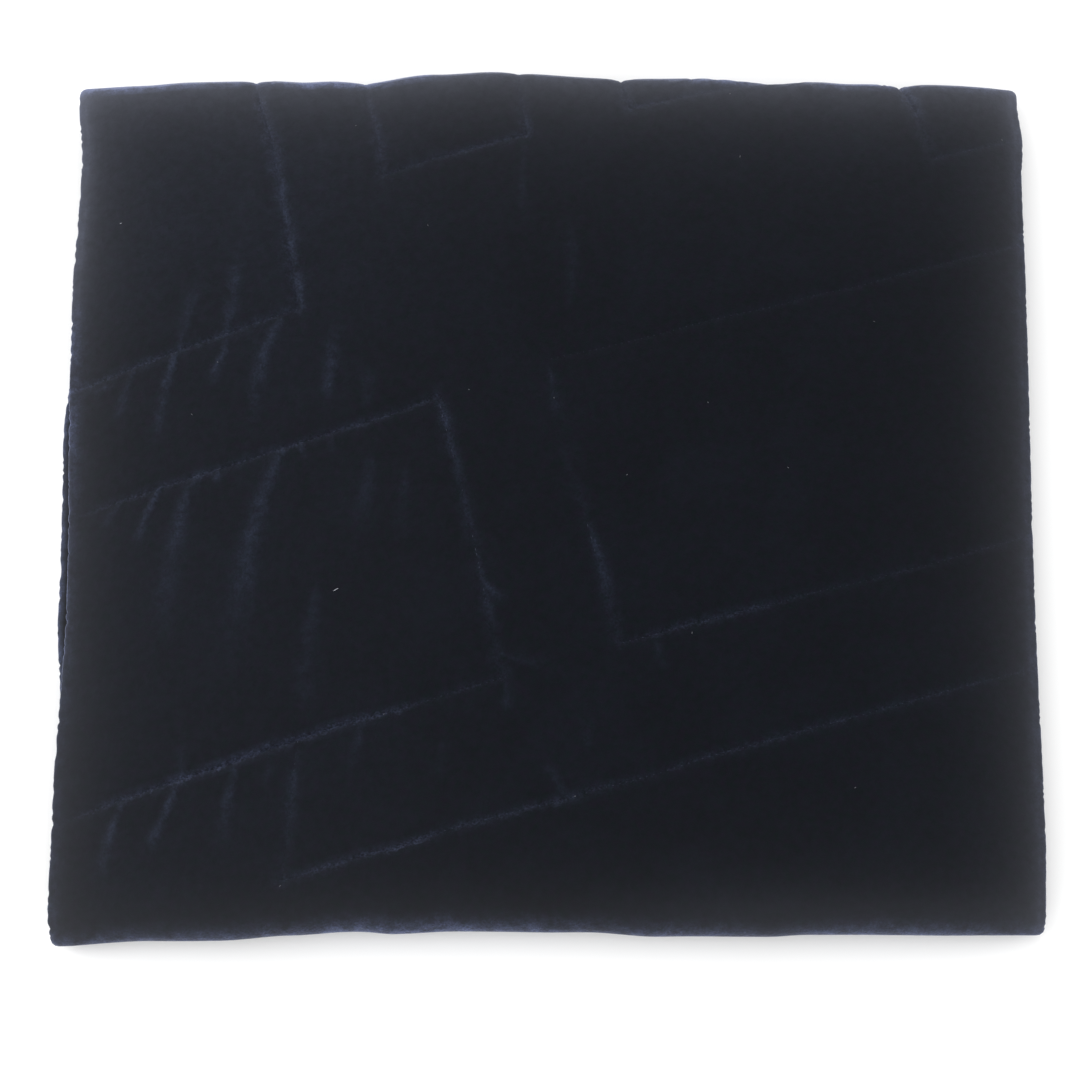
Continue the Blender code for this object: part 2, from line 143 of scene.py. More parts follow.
# How far each edge of the stack strays outwards from a true rectangle, as in the solids
BACK_STRAY = (
    (-0.2450, -0.0008), (-0.2150, -0.0009), (-0.1900, 0.0000), (-0.1460, 0.0009), (-0.1300, 0.0002),
    (-0.1140, 0.0010), (-0.0960, 0.0004), (-0.0600, 0.0044), (-0.0220, 0.0060), (0.0290, 0.0024),
    (0.0820, 0.0028), (0.1240, 0.0004), (0.1350, 0.0010), (0.1610, -0.0008), (0.2140, -0.0002),
    (0.2460, -0.0009),
)
FRONT_STRAY = (
    (-0.2430, 0.0051), (-0.2000, 0.0031), (-0.1650, 0.0028), (-0.1300, 0.0003), (-0.0930, -0.0015),
    (-0.0770, -0.0004), (-0.0500, -0.0018), (0.0200, -0.0012), (0.0560, 0.0010), (0.1080, 0.0011),
    (0.1300, 0.0001), (0.2400, 0.0000),
)
LEFT_STRAY = (
    (-0.2266, -0.0015), (-0.2100, 0.0000), (-0.1600, -0.0006), (-0.0500, -0.0042),
    (0.0700, -0.0018), (0.1070, -0.0016), (0.1800, -0.0042), (0.2156, -0.0018),
)
RIGHT_STRAY = (
    (-0.2266, 0.0004), (-0.2150, 0.0010), (-0.1800, 0.0021), (-0.0600, 0.0010), (0.1300, 0.0023),
    (0.1700, 0.0020), (0.1900, 0.0033), (0.2156, 0.0010),
)
UNDER_PEEK = (
    (-0.1900, -0.0015), (-0.1150, 0.0010), (-0.0600, 0.0060), (0.0300, 0.0048), (0.1000, -0.0015),
)

# How much painted sheen the front roll gets along it
PAINTED_FRONT_GLEAM = (
    (-0.245, 0.55), (-0.200, 0.60), (-0.160, 0.72), (-0.130, 0.60), (-0.095, 1.15), (-0.060, 1.25),
    (-0.010, 0.90), (0.030, 0.55), (0.070, 0.70), (0.110, 0.32), (0.165, 0.90), (0.245, 0.50),
)

# The same painted sheen for the back fold
PAINTED_BACK_GLEAM = (
    (-0.235, 1.30), (-0.200, 1.00), (-0.170, 0.45), (-0.148, 0.40), (-0.125, 1.60), (-0.100, 1.70),
    (-0.076, 0.70), (-0.045, 0.15), (0.040, 0.10), (0.095, 0.80), (0.125, 0.15), (0.172, 0.90),
    (0.196, 0.20), (0.235, 0.30),
)

# The sewn lines, corner to corner, and how hard the thread pulls the padding in at each corner
QUILTING = (
    # Back left
    Sewn(
        ((-0.1555, 0.226), (-0.153, 0.210), (-0.138, 0.142), (-0.130, 0.096), (-0.246, 0.0565)),
        (0.08, 0.8, 0.35, 0.32, 0.5),
    ),
    # Back middle
    Sewn(
        ((-0.0975, 0.226), (-0.089, 0.168), (-0.0135, 0.1865), (-0.016, 0.226)),
        (0.18, 0.28, 0.5, 0.04),
    ),
    # Back right
    Sewn(((0.037, 0.226), (0.0425, 0.2045), (0.137, 0.2245)), (0.85, 0.5, 0.22)),
    # Right end of the back fold
    Sewn(
        (
            (0.1830, 0.226), (0.1872, 0.2180), (0.1908, 0.2130), (0.1933, 0.2065), (0.1945, 0.198),
            (0.1965, 0.189), (0.2005, 0.179), (0.246, 0.1925),
        ),
        (0.7, 1.3, 1.6, 0.7, 0.3, 0.3, 0.2, 0.22),
    ),
    # Right
    Sewn(
        (
            (0.246, 0.134), (0.205, 0.1213), (-0.001, 0.0655), (0.0125, 0.004), (0.035, -0.0815),
            (0.065, -0.0725), (0.0988, -0.0638), (0.1325, -0.0551), (0.200, -0.0377), (0.246, -0.0225),
        ),
        (0.22, 0.13, 0.03, 0.04, 0.20, 0.37, 0.42, 0.15, 0.15, 0.18),
    ),
    # Left
    Sewn(
        (
            (-0.246, -0.010), (-0.205, 0.0012), (-0.110, 0.030), (-0.0575, 0.0455), (-0.0538, 0.0302),
            (-0.0492, 0.0119), (-0.044, -0.009), (-0.0355, -0.050), (-0.0315, -0.070), (-0.024, -0.101),
            (-0.060, -0.1115), (-0.112, -0.1252), (-0.160, -0.1395), (-0.205, -0.154), (-0.246, -0.167),
        ),
        (0.09, 0.40, 0.43, 0.27, 0.38, 0.07, 0.13, 0.09, 0.16, 0.24, 0.17, 0.88, 1.08, 0.76, 0.05),
    ),
    # Front
    Sewn(
        (
            (-0.126, -0.1295), (-0.1315, -0.1946), (-0.132, -0.2005), (-0.120, -0.1972),
            (-0.063, -0.1812), (-0.050, -0.1773), (0.010, -0.161), (0.047, -0.149), (0.082, -0.1375),
            (0.143, -0.1212), (0.246, -0.092),
        ),
        (0.06, 0.12, 0.5, 0.5, 0.78, 0.37, 0.48, 0.14, 0.36, 0.26, 0.18),
    ),
)

# Soft ridges that the sewing draws up in the padding: x and y of the strong end, of the middle and
# of the faint end, then the height as a share of the largest and the half width at the widest
CREASES = np.array((
    (-0.1906, 0.0773, -0.1868, 0.0955, -0.1801, 0.1169, 0.4, 0.0036),
    (-0.1679, 0.0838, -0.1642, 0.1052, -0.1613, 0.1420, 0.6, 0.0036),
    (-0.2258, 0.0593, -0.2321, 0.0560, -0.2363, 0.0504, 0.6, 0.0020),
    (-0.2154, 0.0644, -0.2203, 0.0493, -0.2239, 0.0347, 0.75, 0.0023),
    (-0.1936, 0.0715, -0.1989, 0.0510, -0.2038, 0.0195, 0.95, 0.0026),
    (-0.1673, 0.0779, -0.1716, 0.0646, -0.1750, 0.0524, 0.7, 0.0023),
    (-0.1390, 0.0884, -0.1485, 0.0676, -0.1543, 0.0254, 0.7, 0.0036),
    (-0.1152, 0.0454, -0.1128, 0.0668, -0.1111, 0.0937, 0.55, 0.004),
    (-0.0945, 0.0421, -0.0935, 0.0528, -0.0906, 0.0667, 0.4, 0.0031),
    (-0.2232, -0.0070, -0.2279, -0.0124, -0.2299, -0.0195, 0.45, 0.0026),
    (-0.2012, 0.0014, -0.2084, -0.0133, -0.2140, -0.0321, 1.15, 0.0020),
    (-0.1800, 0.0077, -0.1918, -0.0219, -0.2009, -0.0927, 0.65, 0.0048),
    (-0.1702, 0.0117, -0.1713, 0.0070, -0.1718, 0.0028, 0.5, 0.0020),
    (-0.1383, 0.0174, -0.1542, -0.0285, -0.1636, -0.1026, 0.62, 0.0060),
    (-0.1280, 0.0233, -0.1270, 0.0190, -0.1265, 0.0153, 0.45, 0.0020),
    (-0.1131, 0.0262, -0.1116, 0.0219, -0.1111, 0.0177, 0.5, 0.0020),
    (-0.0915, 0.0196, -0.0947, -0.0015, -0.1019, -0.0277, 0.32, 0.0041),
    (-0.1187, -0.0455, -0.1231, -0.0840, -0.1240, -0.1274, 0.3, 0.0056),
    (-0.0741, 0.0124, -0.0752, -0.0100, -0.0763, -0.0345, 0.18, 0.0041),
    (-0.0585, 0.0493, -0.0513, 0.0226, -0.0424, -0.0170, 0.5, 0.0026),
    (-0.0454, -0.0039, -0.0414, -0.0207, -0.0363, -0.0385, 0.25, 0.0036),
    (-0.0394, -0.0291, -0.0337, -0.0561, -0.0281, -0.0818, 0.3, 0.0023),
    (-0.0332, -0.0530, -0.0265, -0.0592, -0.0198, -0.0633, 0.5, 0.0023),
    (-0.0239, -0.0894, -0.0101, -0.0922, 0.0062, -0.0932, 0.3, 0.0026),
    (-0.0220, -0.1037, -0.0213, -0.1123, -0.0216, -0.1204, 0.3, 0.0026),
    (-0.2135, -0.1608, -0.2199, -0.1798, -0.2224, -0.1999, 0.8, 0.003),
    (-0.1865, -0.1532, -0.1944, -0.1721, -0.2008, -0.1874, 0.8, 0.0026),
    (-0.1574, -0.1443, -0.1603, -0.1616, -0.1636, -0.1829, 0.65, 0.0031),
    (-0.1390, -0.1396, -0.1403, -0.1461, -0.1416, -0.1531, 0.4, 0.0020),
    (-0.1256, -0.1385, -0.1285, -0.1611, -0.1303, -0.1961, 0.25, 0.0038),
    (-0.0945, -0.1246, -0.0966, -0.1373, -0.0992, -0.1504, 0.3, 0.0031),
    (-0.0516, -0.1283, -0.0534, -0.1409, -0.0552, -0.1544, 0.16, 0.0031),
    (-0.1812, -0.1483, -0.1843, -0.1352, -0.1826, -0.1226, 0.2, 0.0031),
    (-0.1396, -0.1381, -0.1409, -0.1320, -0.1423, -0.1243, 0.3, 0.0026),
    (0.0068, -0.1579, 0.0023, -0.1490, -0.0022, -0.1421, 0.3, 0.0031),
    (0.0198, -0.1365, 0.0197, -0.1264, 0.0186, -0.1173, 0.18, 0.0036),
    (-0.1373, 0.1433, -0.1419, 0.1607, -0.1486, 0.1893, 0.5, 0.0031),
    (-0.1320, 0.1216, -0.1352, 0.1336, -0.1387, 0.1488, 0.35, 0.0026),
    (-0.1277, 0.0977, -0.1295, 0.1091, -0.1315, 0.1217, 0.4, 0.0020),
    (-0.0939, 0.2085, -0.0915, 0.1928, -0.0881, 0.1703, 0.45, 0.0031),
    (-0.0107, 0.1859, -0.0123, 0.1958, -0.0132, 0.2073, 0.55, 0.0026),
    (-0.0133, 0.1814, -0.0147, 0.1561, -0.0104, 0.1291, 0.25, 0.0026),
    (0.0087, 0.0873, 0.0117, 0.1189, 0.0101, 0.1526, 0.24, 0.0036),
    (0.0004, 0.0589, 0.0024, 0.0462, 0.0049, 0.0316, 0.2, 0.0026),
    (0.0063, 0.0169, 0.0153, -0.0058, 0.0263, -0.0389, 0.14, 0.0036),
    (0.0202, -0.0224, 0.0272, -0.0461, 0.0313, -0.0707, 0.34, 0.0036),
    (0.0543, -0.0815, 0.0558, -0.0881, 0.0569, -0.0963, 0.25, 0.0026),
))

# The sewing, and the lint on the pile
LINE_REACH = 0.006  # a crease that starts this near to a sewn line grows out of it
BITE_PITCH = 0.0068  # the thread bites deeper at every second stitch
SEAM_THINS = 0.0007  # most that a pucker thins the outer cloth
HIDDEN_THINS = 0.0006  # the same for the inner cloth
SLOPE_STEP = 0.0004
AHEAD = 0.0005
STITCH_SINKS = 0.0001
FIBRE_SIDES = 6
LINT_THICK = 0.0003
LINT_SAG = 0.0001
LINT_STANDS = 0.00018

# Specks of lint: x, y, the length of the fibre, the way it lies in degrees, and its brightness
SPECKS = (
    (-0.2254, 0.1456, 0.0011, 20, 0.36),
    (-0.1099, -0.0537, 0.0030, 30, 0.36),
    (-0.1842, 0.0404, 0.0010, 135, 0.10),
    (0.0721, -0.0754, 0.0012, 80, 0.10),
    (-0.0832, -0.1177, 0.0009, 60, 0.10),
    (0.0991, 0.1779, 0.0012, 85, 0.10),
    (0.1225, 0.0110, 0.0010, 140, 0.10),
    (-0.1325, -0.2031, 0.0010, 45, 0.10),
    (-0.1712, 0.0678, 0.0008, 135, 0.10),
    (0.0133, -0.1598, 0.0009, 10, 0.10),
    (0.0960, 0.2125, 0.0010, 75, 0.10),
    (-0.1029, 0.1961, 0.0009, 30, 0.10),
    (-0.0639, 0.1378, 0.0008, 110, 0.10),
    (0.0396, 0.0061, 0.0009, 50, 0.10),
    (0.0818, 0.0444, 0.0009, 100, 0.10),
    (0.0024, 0.0452, 0.0008, 95, 0.10),
    (-0.0414, 0.0487, 0.0008, 160, 0.10),
    (0.1682, 0.0897, 0.0010, 160, 0.10),
    (0.2378, 0.1922, 0.0010, 120, 0.10),
    (0.1532, -0.1541, 0.0009, 30, 0.10),
)

# The studio: where the camera aims, the floor, and each soft box with its share of the power
AIM = (-0.0029, -0.0212)
FLOOR_Z = -0.0002
SOFT_BOXES = (
    ("left_box", (-1.3, 0.1, 0.55), (1.2, 0.8), 1.0),
    ("back_box", (0.1, 1.4, 0.45), (1.6, 0.6), 0.7),
    ("front_box", (0.0, -1.4, 0.40), (1.6, 0.6), 0.6),
    ("right_box", (1.4, 0.0, 0.45), (1.2, 0.6), 0.5),
)


def measure(name, description, default, low, high):
    """A size that a user may change."""
    return FloatProperty(
        name=name, description=description, default=default, min=low, max=high, subtype="DISTANCE"
    )


def amount(name, description, default, low, high):
    """A plain number or share that a user may change."""
    return FloatProperty(name=name, description=description, default=default, min=low, max=high)


def dye(name, description, default):
    """A colour that a user may change."""
    return FloatVectorProperty(
        name=name, description=description, default=default, min=0.0, max=1.0, subtype="COLOR"
    )


class StoleClothSettings(bpy.types.PropertyGroup):
    """Sizes of the padded cloth."""

    sunk: measure("Sunk", "How far the sewing pulls the padding in over a wide valley", 0.0022, 0.0, 0.004)
    valley: measure(
        "Valley", "Distance over which the padding rises beside a sewn line", 0.0050, 0.001, 0.02
    )
    notch: measure(
        "Notch", "Depth of the narrow notch that the thread itself cuts into the pile", 0.0007, 0.0, 0.002
    )
    notch_width: measure("Notch width", "Half width of the narrow notch", 0.0011, 0.0003, 0.004)
    crease_height: measure(
        "Crease height", "Height of the largest soft ridge that the sewing draws up", 0.0012, 0.0, 0.004
    )
    crease_width: amount(
        "Crease width", "Width of the soft ridges, as a share of their measured widths", 1.0, 0.3, 3.0
    )
    waviness: measure("Waviness", "Height of the slow unevenness of the padding", 0.0006, 0.0, 0.003)
    pucker_pitch: measure(
        "Pucker pitch", "Distance from one pucker of a side seam to the next", 0.0064, 0.002, 0.02
    )
    pucker_depth: measure(
        "Pucker depth", "How far a side seam draws in between two puckers", 0.0009, 0.0, 0.003
    )


class StoleSewingSettings(bpy.types.PropertyGroup):
    """Sizes of the quilting stitches."""

    stitch: measure("Stitch", "Length of thread that shows in one stitch", 0.0026, 0.001, 0.01)
    pitch: measure("Pitch", "Distance from one stitch to the next", 0.0034, 0.001, 0.01)
    thread: measure("Thread", "Thickness of the thread", 0.00035, 0.0001, 0.001)


class StoleVelvetSettings(bpy.types.PropertyGroup):
    """Colours of the velvet and its sheen."""

    pile: dye("Pile", "Colour of the pile seen from above", (0.0034, 0.0040, 0.0060))
    # Random brushed patches of the pile, plus painted highlights on the creases and beside the sewn lines
    brushed_and_sheen: dye(
        "Brushed pile", "Colour where the pile lies over and shows its sides", (0.0135, 0.0176, 0.0312)
    )
    # Painted sheen along the sewn lines, where the sewing parts the pile
    line_sheen: dye("Parted pile", "Colour where the sewing parts the pile", (0.033, 0.038, 0.068))
    # Painted sheen on the front roll, the back fold and the rims
    painted_sheen: dye(
        "Raised pile",
        "Colour that the pile adds where it stands out from a fold or a rim",
        (0.050, 0.062, 0.122),
    )
    # Painted sheen and light, paler towards the seams, the folds and the left
    edge_sheen: dye(
        "Splayed pile",
        "Colour where the pile splays towards the seams and the back fold",
        (0.066, 0.071, 0.092),
    )
    sheen: dye("Sheen", "Colour of the light that the pile scatters at its edges", (0.72, 0.78, 1.0))
    sheen_weight: amount("Sheen weight", "Strength of the sheen", 0.25, 0.0, 1.0)
    sheen_roughness: amount("Sheen roughness", "Width of the sheen", 0.35, 0.0, 1.0)


class StoleStudioSettings(bpy.types.PropertyGroup):
    """Camera and lights."""

    distance: measure("Camera distance", "From the camera to the middle of the picture", 1.6, 0.3, 10.0)
    tilt: FloatProperty(
        name="Camera tilt", description="How far the camera leans from straight down",
        default=radians(12.9), subtype="ANGLE",
    )
    lens: amount("Lens", "Focal length on a 36 mm sensor, in millimetres", 102.9, 20, 300)
    surround: amount("Surround", "Brightness of the white tent round the stole", 0.9, 0.0, 10.0)
    side_light: FloatProperty(
        name="Side lights", description="Power of the left soft box; the others follow it",
        default=14.0, min=0.0, max=500.0, subtype="POWER",
    )
    near_glow: IntProperty(
        name="Near glow", description="Size of the tighter glow of the bright surround, in pixels",
        default=114, min=1, max=1000,
    )
    near_strength: amount("Near strength", "How much of the tighter glow is added", 0.030, 0.0, 1.0)
    far_glow: IntProperty(
        name="Far glow", description="Size of the wider glow, in pixels",
        default=314, min=1, max=1000,
    )
    far_strength: amount("Far strength", "How much of the wider glow is added", 0.010, 0.0, 1.0)


def eased(table, along):
    """The strays of a table at places along its edge, easing from row to row without overshoot."""
    at, out = np.array(table).T
    along = np.clip(along, at[0], at[-1])
    row = np.clip(np.searchsorted(at, along) - 1, 0, len(at) - 2)
    t = (along - at[row]) / (at[row + 1] - at[row])
    return out[row] + (out[row + 1] - out[row]) * t * t * (3 - 2 * t)


def smooth(value):
    """0 below 0, 1 above 1 and a soft S between."""
    value = np.clip(value, 0, 1)
    return value * value * (3 - 2 * value)


def height_share(x):
    """The stack thins to its side seams, where each stretch is only as thick as its seam."""
    inward = np.clip((WIDTH / 2 - np.abs(x)) / EDGE_REACH, 0, 1)
    return EDGE_HEIGHT + (1 - EDGE_HEIGHT) * np.sin(inward * pi / 2)


def row_shift():
    """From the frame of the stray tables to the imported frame, which is centred on the whole stack."""
    low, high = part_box("top_stretch")
    right = WIDTH / 2 + max(out for _, out in RIGHT_STRAY)
    front = FRONT_Y - max(out for _, out in FRONT_STRAY)
    return high.x - right, low.y - front


SHIFT = row_shift()


def place(x, y, z):
    """Points of the true rectangular stack, moved to where the cloth really lies."""
    to_right = x / WIDTH + 0.5
    to_back = (y - FRONT_Y) / (BACK_Y - FRONT_Y)
    moved_x = x + eased(RIGHT_STRAY, y) * to_right - eased(LEFT_STRAY, y) * (1 - to_right)
    moved_y = y + eased(BACK_STRAY, x) * to_back - eased(FRONT_STRAY, x) * (1 - to_back)
    return np.stack([moved_x + SHIFT[0], moved_y + SHIFT[1], z * height_share(x)], axis=-1)


def turned(v):
    """(angle round the front roll, angle round the back fold) of the outer cloth at V."""
    roll = np.clip((ROLL_Y - v) / ROLL_LENGTH, 0, 1) * pi
    return roll, np.clip((v - FOLD_Y) / FOLD_LENGTH, 0, 1) * pi


def wrap_outer(x, v, lift):
    """Points of the outer cloth; lift is the distance out from its inner face."""
    x, v, lift = np.broadcast_arrays(x, v, lift)
    roll, fold = turned(v)
    under = np.maximum(ROLL_END - v, 0)
    y = np.clip(v, ROLL_Y, FOLD_Y) + under
    y = y + (FOLD_IN + lift) * np.sin(fold) - (ROLL_IN + lift) * np.sin(roll)
    z = np.where(fold > 0, FOLD_Z + (FOLD_IN + lift) * np.cos(fold), TOP_LOW + lift)
    z = np.where(roll > 0, ROLL_Z + (ROLL_IN + lift) * np.cos(roll), z)
    settled = smooth(under / UNDER_SETTLES)
    to_right = x / WIDTH + 0.5
    peek = eased(UNDER_PEEK, y) * (1 - to_right) + UNDER_RIGHT_TUCK * to_right
    return place(x - peek * settled, y, z)


def wrap_inner(x, v, lift):
    """Points of the inner cloth. V is 0 where it starts to turn, less on top and more below."""
    x, v, lift = np.broadcast_arrays(x, v, lift)
    turn = np.clip(v / TURN_LENGTH, 0, 1) * pi
    y = TURN_Y + np.maximum(-v, 0) + np.maximum(v - TURN_LENGTH, 0)
    y = y - (TURN_IN + lift) * np.sin(turn)
    z = INNER_MID + (TURN_IN + lift) * np.cos(turn)
    return place(x, y, z)


def from_sewn_lines(points):
    """Of the nearest sewn line: distance, pull, distance along it, side and whether it runs lengthwise."""
    nearest = np.full(len(points), np.inf)
    pull, along, side, lengthwise = np.zeros((4, len(points)))
    for sewn in QUILTING:
        corners = np.array(sewn.corners)
        done = 0.0
        for start, end, here, there in zip(corners[:-1], corners[1:], sewn.pull[:-1], sewn.pull[1:]):
            run = end - start
            share = np.clip((points - start) @ run / (run @ run), 0, 1)
            away = np.linalg.norm(points - start - share[:, None] * run, axis=1)
            closer = away < nearest
            nearest[closer] = away[closer]
            pull[closer] = (here + share * (there - here))[closer]
            along[closer] = (done + share * np.linalg.norm(run))[closer]
            across = np.array([-run[1], run[0]]) * np.sign(run[0] - run[1])
            side[closer] = np.sign((points - start) @ across)[closer]
            lengthwise[closer] = float(abs(run[1]) > abs(run[0]))
            done += np.linalg.norm(run)
    return nearest, pull, along, side, lengthwise


def crease_ridges(points, widening):
    """How much of a ridge each point lies on, from 0 to its height."""
    ridge = np.zeros(len(points))
    sewn = from_sewn_lines(CREASES[:, :2])[0] < LINE_REACH
    for crease, from_line in zip(CREASES, sewn):
        head, bend, tail = crease[:6].reshape(3, 2)
        height, wide = crease[6], crease[7] * widening
        middle = 2 * bend - (head + tail) / 2
        head = head + (head - bend) * SEAM_STEP / np.linalg.norm(head - bend)
        shares = np.linspace(0, 1, 25)[:, None]
        curve = (1 - shares) ** 2 * head + 2 * shares * (1 - shares) * middle + shares**2 * tail
        reach = 3 * wide
        low, high = curve.min(axis=0) - reach, curve.max(axis=0) + reach
        near = np.nonzero(((points > low) & (points < high)).all(axis=1))[0]
        if not len(near):
            continue
        away = np.linalg.norm(points[near, None] - curve[None], axis=2)
        which = away.argmin(axis=1)
        share = shares[which, 0]
        spread_out = wide * (0.35 + share)
        fade = smooth(share / 0.04 + 0.6) if from_line else smooth(share / 0.28)
        fade = fade * (1.2 - 0.75 * share) * (1 - smooth((share - 0.6) / 0.4))
        here = height * fade * np.exp(-((away.min(axis=1) / spread_out) ** 2))
        ridge[near] = np.maximum(ridge[near], here)
    return ridge


def wave(points, size, seed):
    """Smooth, even noise from -1 to 1 over the cloth, with lumps of about this size."""
    return np.array([noise.noise(Vector((x / size, y / size, seed))) for x, y in points])


def seam_puckers(v, side, cloth):
    """How far a side seam draws in at each place along it, from 0 to 1, most where a stitch bites."""
    slow = np.sin(2 * pi * v / 0.037 + side) + 0.8 * np.sin(2 * pi * v / 0.0211 + 2.1 * side)
    phase = 2 * pi * v / cloth.pucker_pitch + 2.4 * slow
    size = 0.45 + 0.3 * np.sin(2 * pi * v / 0.051 + 3 * side) + 0.3 * np.sin(2 * pi * v / 0.0173 + side)
    size = np.clip(size, 0.05, 1) * np.where(side < 0, 1.0, 0.6)
    return size * (0.5 + 0.5 * np.cos(phase)) ** 1.4


def showing_at(v):
    """1 on top, where the quilting shows, easing to 0 under the front roll."""
    return smooth((v - ROLL_END) / ROLL_LENGTH * 1.6)


def outer_lift(points, cloth):
    """Thickness of the outer cloth at each (x, v)."""
    x, v = points[:, 0], points[:, 1]
    showing = showing_at(v)
    away, pull, along, _, _ = from_sewn_lines(points)
    pull = np.minimum(pull, 1)
    bite = 1 + 0.25 * np.sin(2 * pi * along / BITE_PITCH) + 0.6 * wave(points, 0.009, 1.9)
    sunk = cloth.sunk * np.exp(-away / cloth.valley) * (0.35 + 0.65 * pull)
    notch = cloth.notch * np.exp(-((away / cloth.notch_width) ** 2)) * pull * bite
    ridge = crease_ridges(points, cloth.crease_width)
    uneven = cloth.waviness * (wave(points, 0.055, 3.7) + 0.45 * wave(points, 0.022, 9.2))
    drawn = seam_puckers(v, np.sign(x), cloth) * np.exp(-(SIDE - np.abs(x)) / 0.0045)
    lift = LAYER + showing * (uneven + cloth.crease_height * ridge - sunk - notch)
    return lift - SEAM_THINS * drawn * (0.35 + 0.65 * showing)


def painted_edge_sheen(points):
    """Painted sheen and light: paler colour towards the seams, the folds and the left, from 0 to 1."""
    x, v = points[:, 0], points[:, 1]
    inward = SIDE - np.abs(x)
    left_back = smooth((v - 0.06) / 0.08)
    narrow = np.where(x < 0, 0.02 + 0.28 * left_back, 0.11 + 0.17 * smooth((v - 0.17) / 0.03))
    wide = np.where(x < 0, 0.04 + 0.09 * left_back, 0.10)
    seam = narrow * np.exp(-inward / 0.0037) + wide * np.exp(-inward / 0.017)
    left = 0.045 * smooth((0.05 - x) / 0.25)
    from_back = np.maximum(FOLD_Y - v, 0)
    back = 0.30 * np.exp(-from_back / 0.0085) + 0.145 * np.exp(-from_back / 0.040)
    patchy = 1 + 0.9 * smooth((-0.08 - x) / 0.12) + 0.9 * wave(points * [1, 0.2], 0.045, 7.1)
    folded = 0.52 * patchy * (turned(v)[1] / radians(90)) ** 2
    front = 0.07 * smooth(x / 0.12) * np.exp(-np.maximum(v - ROLL_Y, 0) / 0.012)
    below = 0.10 * smooth((ROLL_END - v) / 0.01) * np.exp(-inward / 0.006)
    return (left + seam + back + folded + front) * (v > ROLL_END) + below


def painted_roll_and_fold_sheen(x, v):
    """Painted sheen: how much gleam is painted on the front roll, the back fold and by the seams."""
    roll, fold = turned(v)
    facing = np.minimum(roll, pi / 2) / radians(66)
    hidden = smooth((roll - radians(85)) / radians(45))
    rolled = 0.40 * eased(PAINTED_FRONT_GLEAM, x) * facing**2.6 * (1 - hidden)
    folded = 1.5 * eased(PAINTED_BACK_GLEAM, x) * np.minimum(fold / radians(75), 1) ** 1.5
    beside = 0.06 + 0.10 * (x < 0) * smooth((v + 0.02) / 0.04) * smooth((0.115 - v) / 0.03)
    return rolled + folded + beside * np.exp(-(SIDE - np.abs(x)) / 0.0022)


def painted_rim_gleam(x, v):
    """Painted sheen: how much gleam is painted on the round edge of a seam, most half way up the left one.
    """
    rim = 0.20 + 0.55 * (x < 0) * smooth((v + 0.12) / 0.05) * smooth((0.13 - v) / 0.06)
    return np.where(v < ROLL_END, 0.45, rim)


def pile_looks(points, cloth):
    """What the colours of the pile follow at each (x, v) of the outer cloth."""
    x, v = points[:, 0], points[:, 1]
    showing = showing_at(v)
    away, pull, _, side, lengthwise = from_sewn_lines(points)
    close = 1 - smooth((away - 0.002) / 0.002)
    # Painted light, paler on the far left
    ridge = crease_ridges(points, cloth.crease_width) * showing
    left_light = smooth((-0.02 - x) / 0.12) * smooth((v - 0.02) / 0.12)
    return {
        "away": np.minimum(away, 0.02) * 1000,
        "lean": away * side * close * 1000,
        "lengthwise": lengthwise,
        "pull": pull * showing,
        # ridge also carries painted highlights on the creases, painted light on the far left and paler pile
        # under the front roll
        "ridge": ridge + 0.08 * left_light + 0.6 * (1 - showing),
        # painted sheen and light towards the seams, the folds and the left
        "edge_sheen": painted_edge_sheen(points),
        # painted sheen on the front roll, the back fold and the rims
        "painted_gleam": painted_roll_and_fold_sheen(x, v),
    }


class Shell:
    """Vertices and faces gathered for one closed sheet of padded cloth."""

    def __init__(self):
        self.points = []
        self.faces = []

    def add(self, places):
        """Adds an array of points and returns their numbers in the same layout."""
        flat = np.reshape(places, (-1, 3))
        first = sum(len(block) for block in self.points)
        self.points.append(flat)
        return np.arange(first, first + len(flat)).reshape(np.shape(places)[:-1])

    def strip(self, one, other):
        """Joins two rows of numbers of the same length by quads."""
        one, other = np.asarray(one), np.asarray(other)
        self.faces.append(np.stack([one[:-1], one[1:], other[1:], other[:-1]], axis=1))

    def grid(self, numbers):
        for one, other in zip(numbers[:-1], numbers[1:]):
            self.strip(one, other)

    def object(self, name, material):
        """Makes the finished piece, smooth, with its faces pointing out."""
        mesh = bpy.data.meshes.new(name)
        faces = [tuple(int(n) for n in face) for block in self.faces for face in block]
        mesh.from_pydata(np.concatenate(self.points).tolist(), [], faces)
        made = bpy.data.objects.new(name, mesh)
        bpy.context.scene.collection.objects.link(made)
        mesh.materials.append(material)
        only(made)
        bpy.ops.object.mode_set(mode="EDIT")
        bpy.ops.mesh.select_all(action="SELECT")
        bpy.ops.mesh.normals_make_consistent(inside=False)
        bpy.ops.object.mode_set(mode="OBJECT")
        bpy.ops.object.shade_smooth()
        return made


def nothing_selected():
    for other in bpy.data.objects:
        other.select_set(False)


def only(made):
    """Selects this object alone and makes it active."""
    nothing_selected()
    made.select_set(True)
    bpy.context.view_layer.objects.active = made


def joined(pieces, name):
    """Joins pieces into one of this name."""
    only(pieces[0])
    for piece in pieces:
        piece.select_set(True)
    bpy.ops.object.join()
    made = bpy.context.view_layer.objects.active
    made.name = name
    made.data.name = name
    return made


def spread(start, end, step):
    """Evenly spaced values from start to end, at most step apart."""
    return np.linspace(start, end, int(ceil(abs(end - start) / step)) + 1)


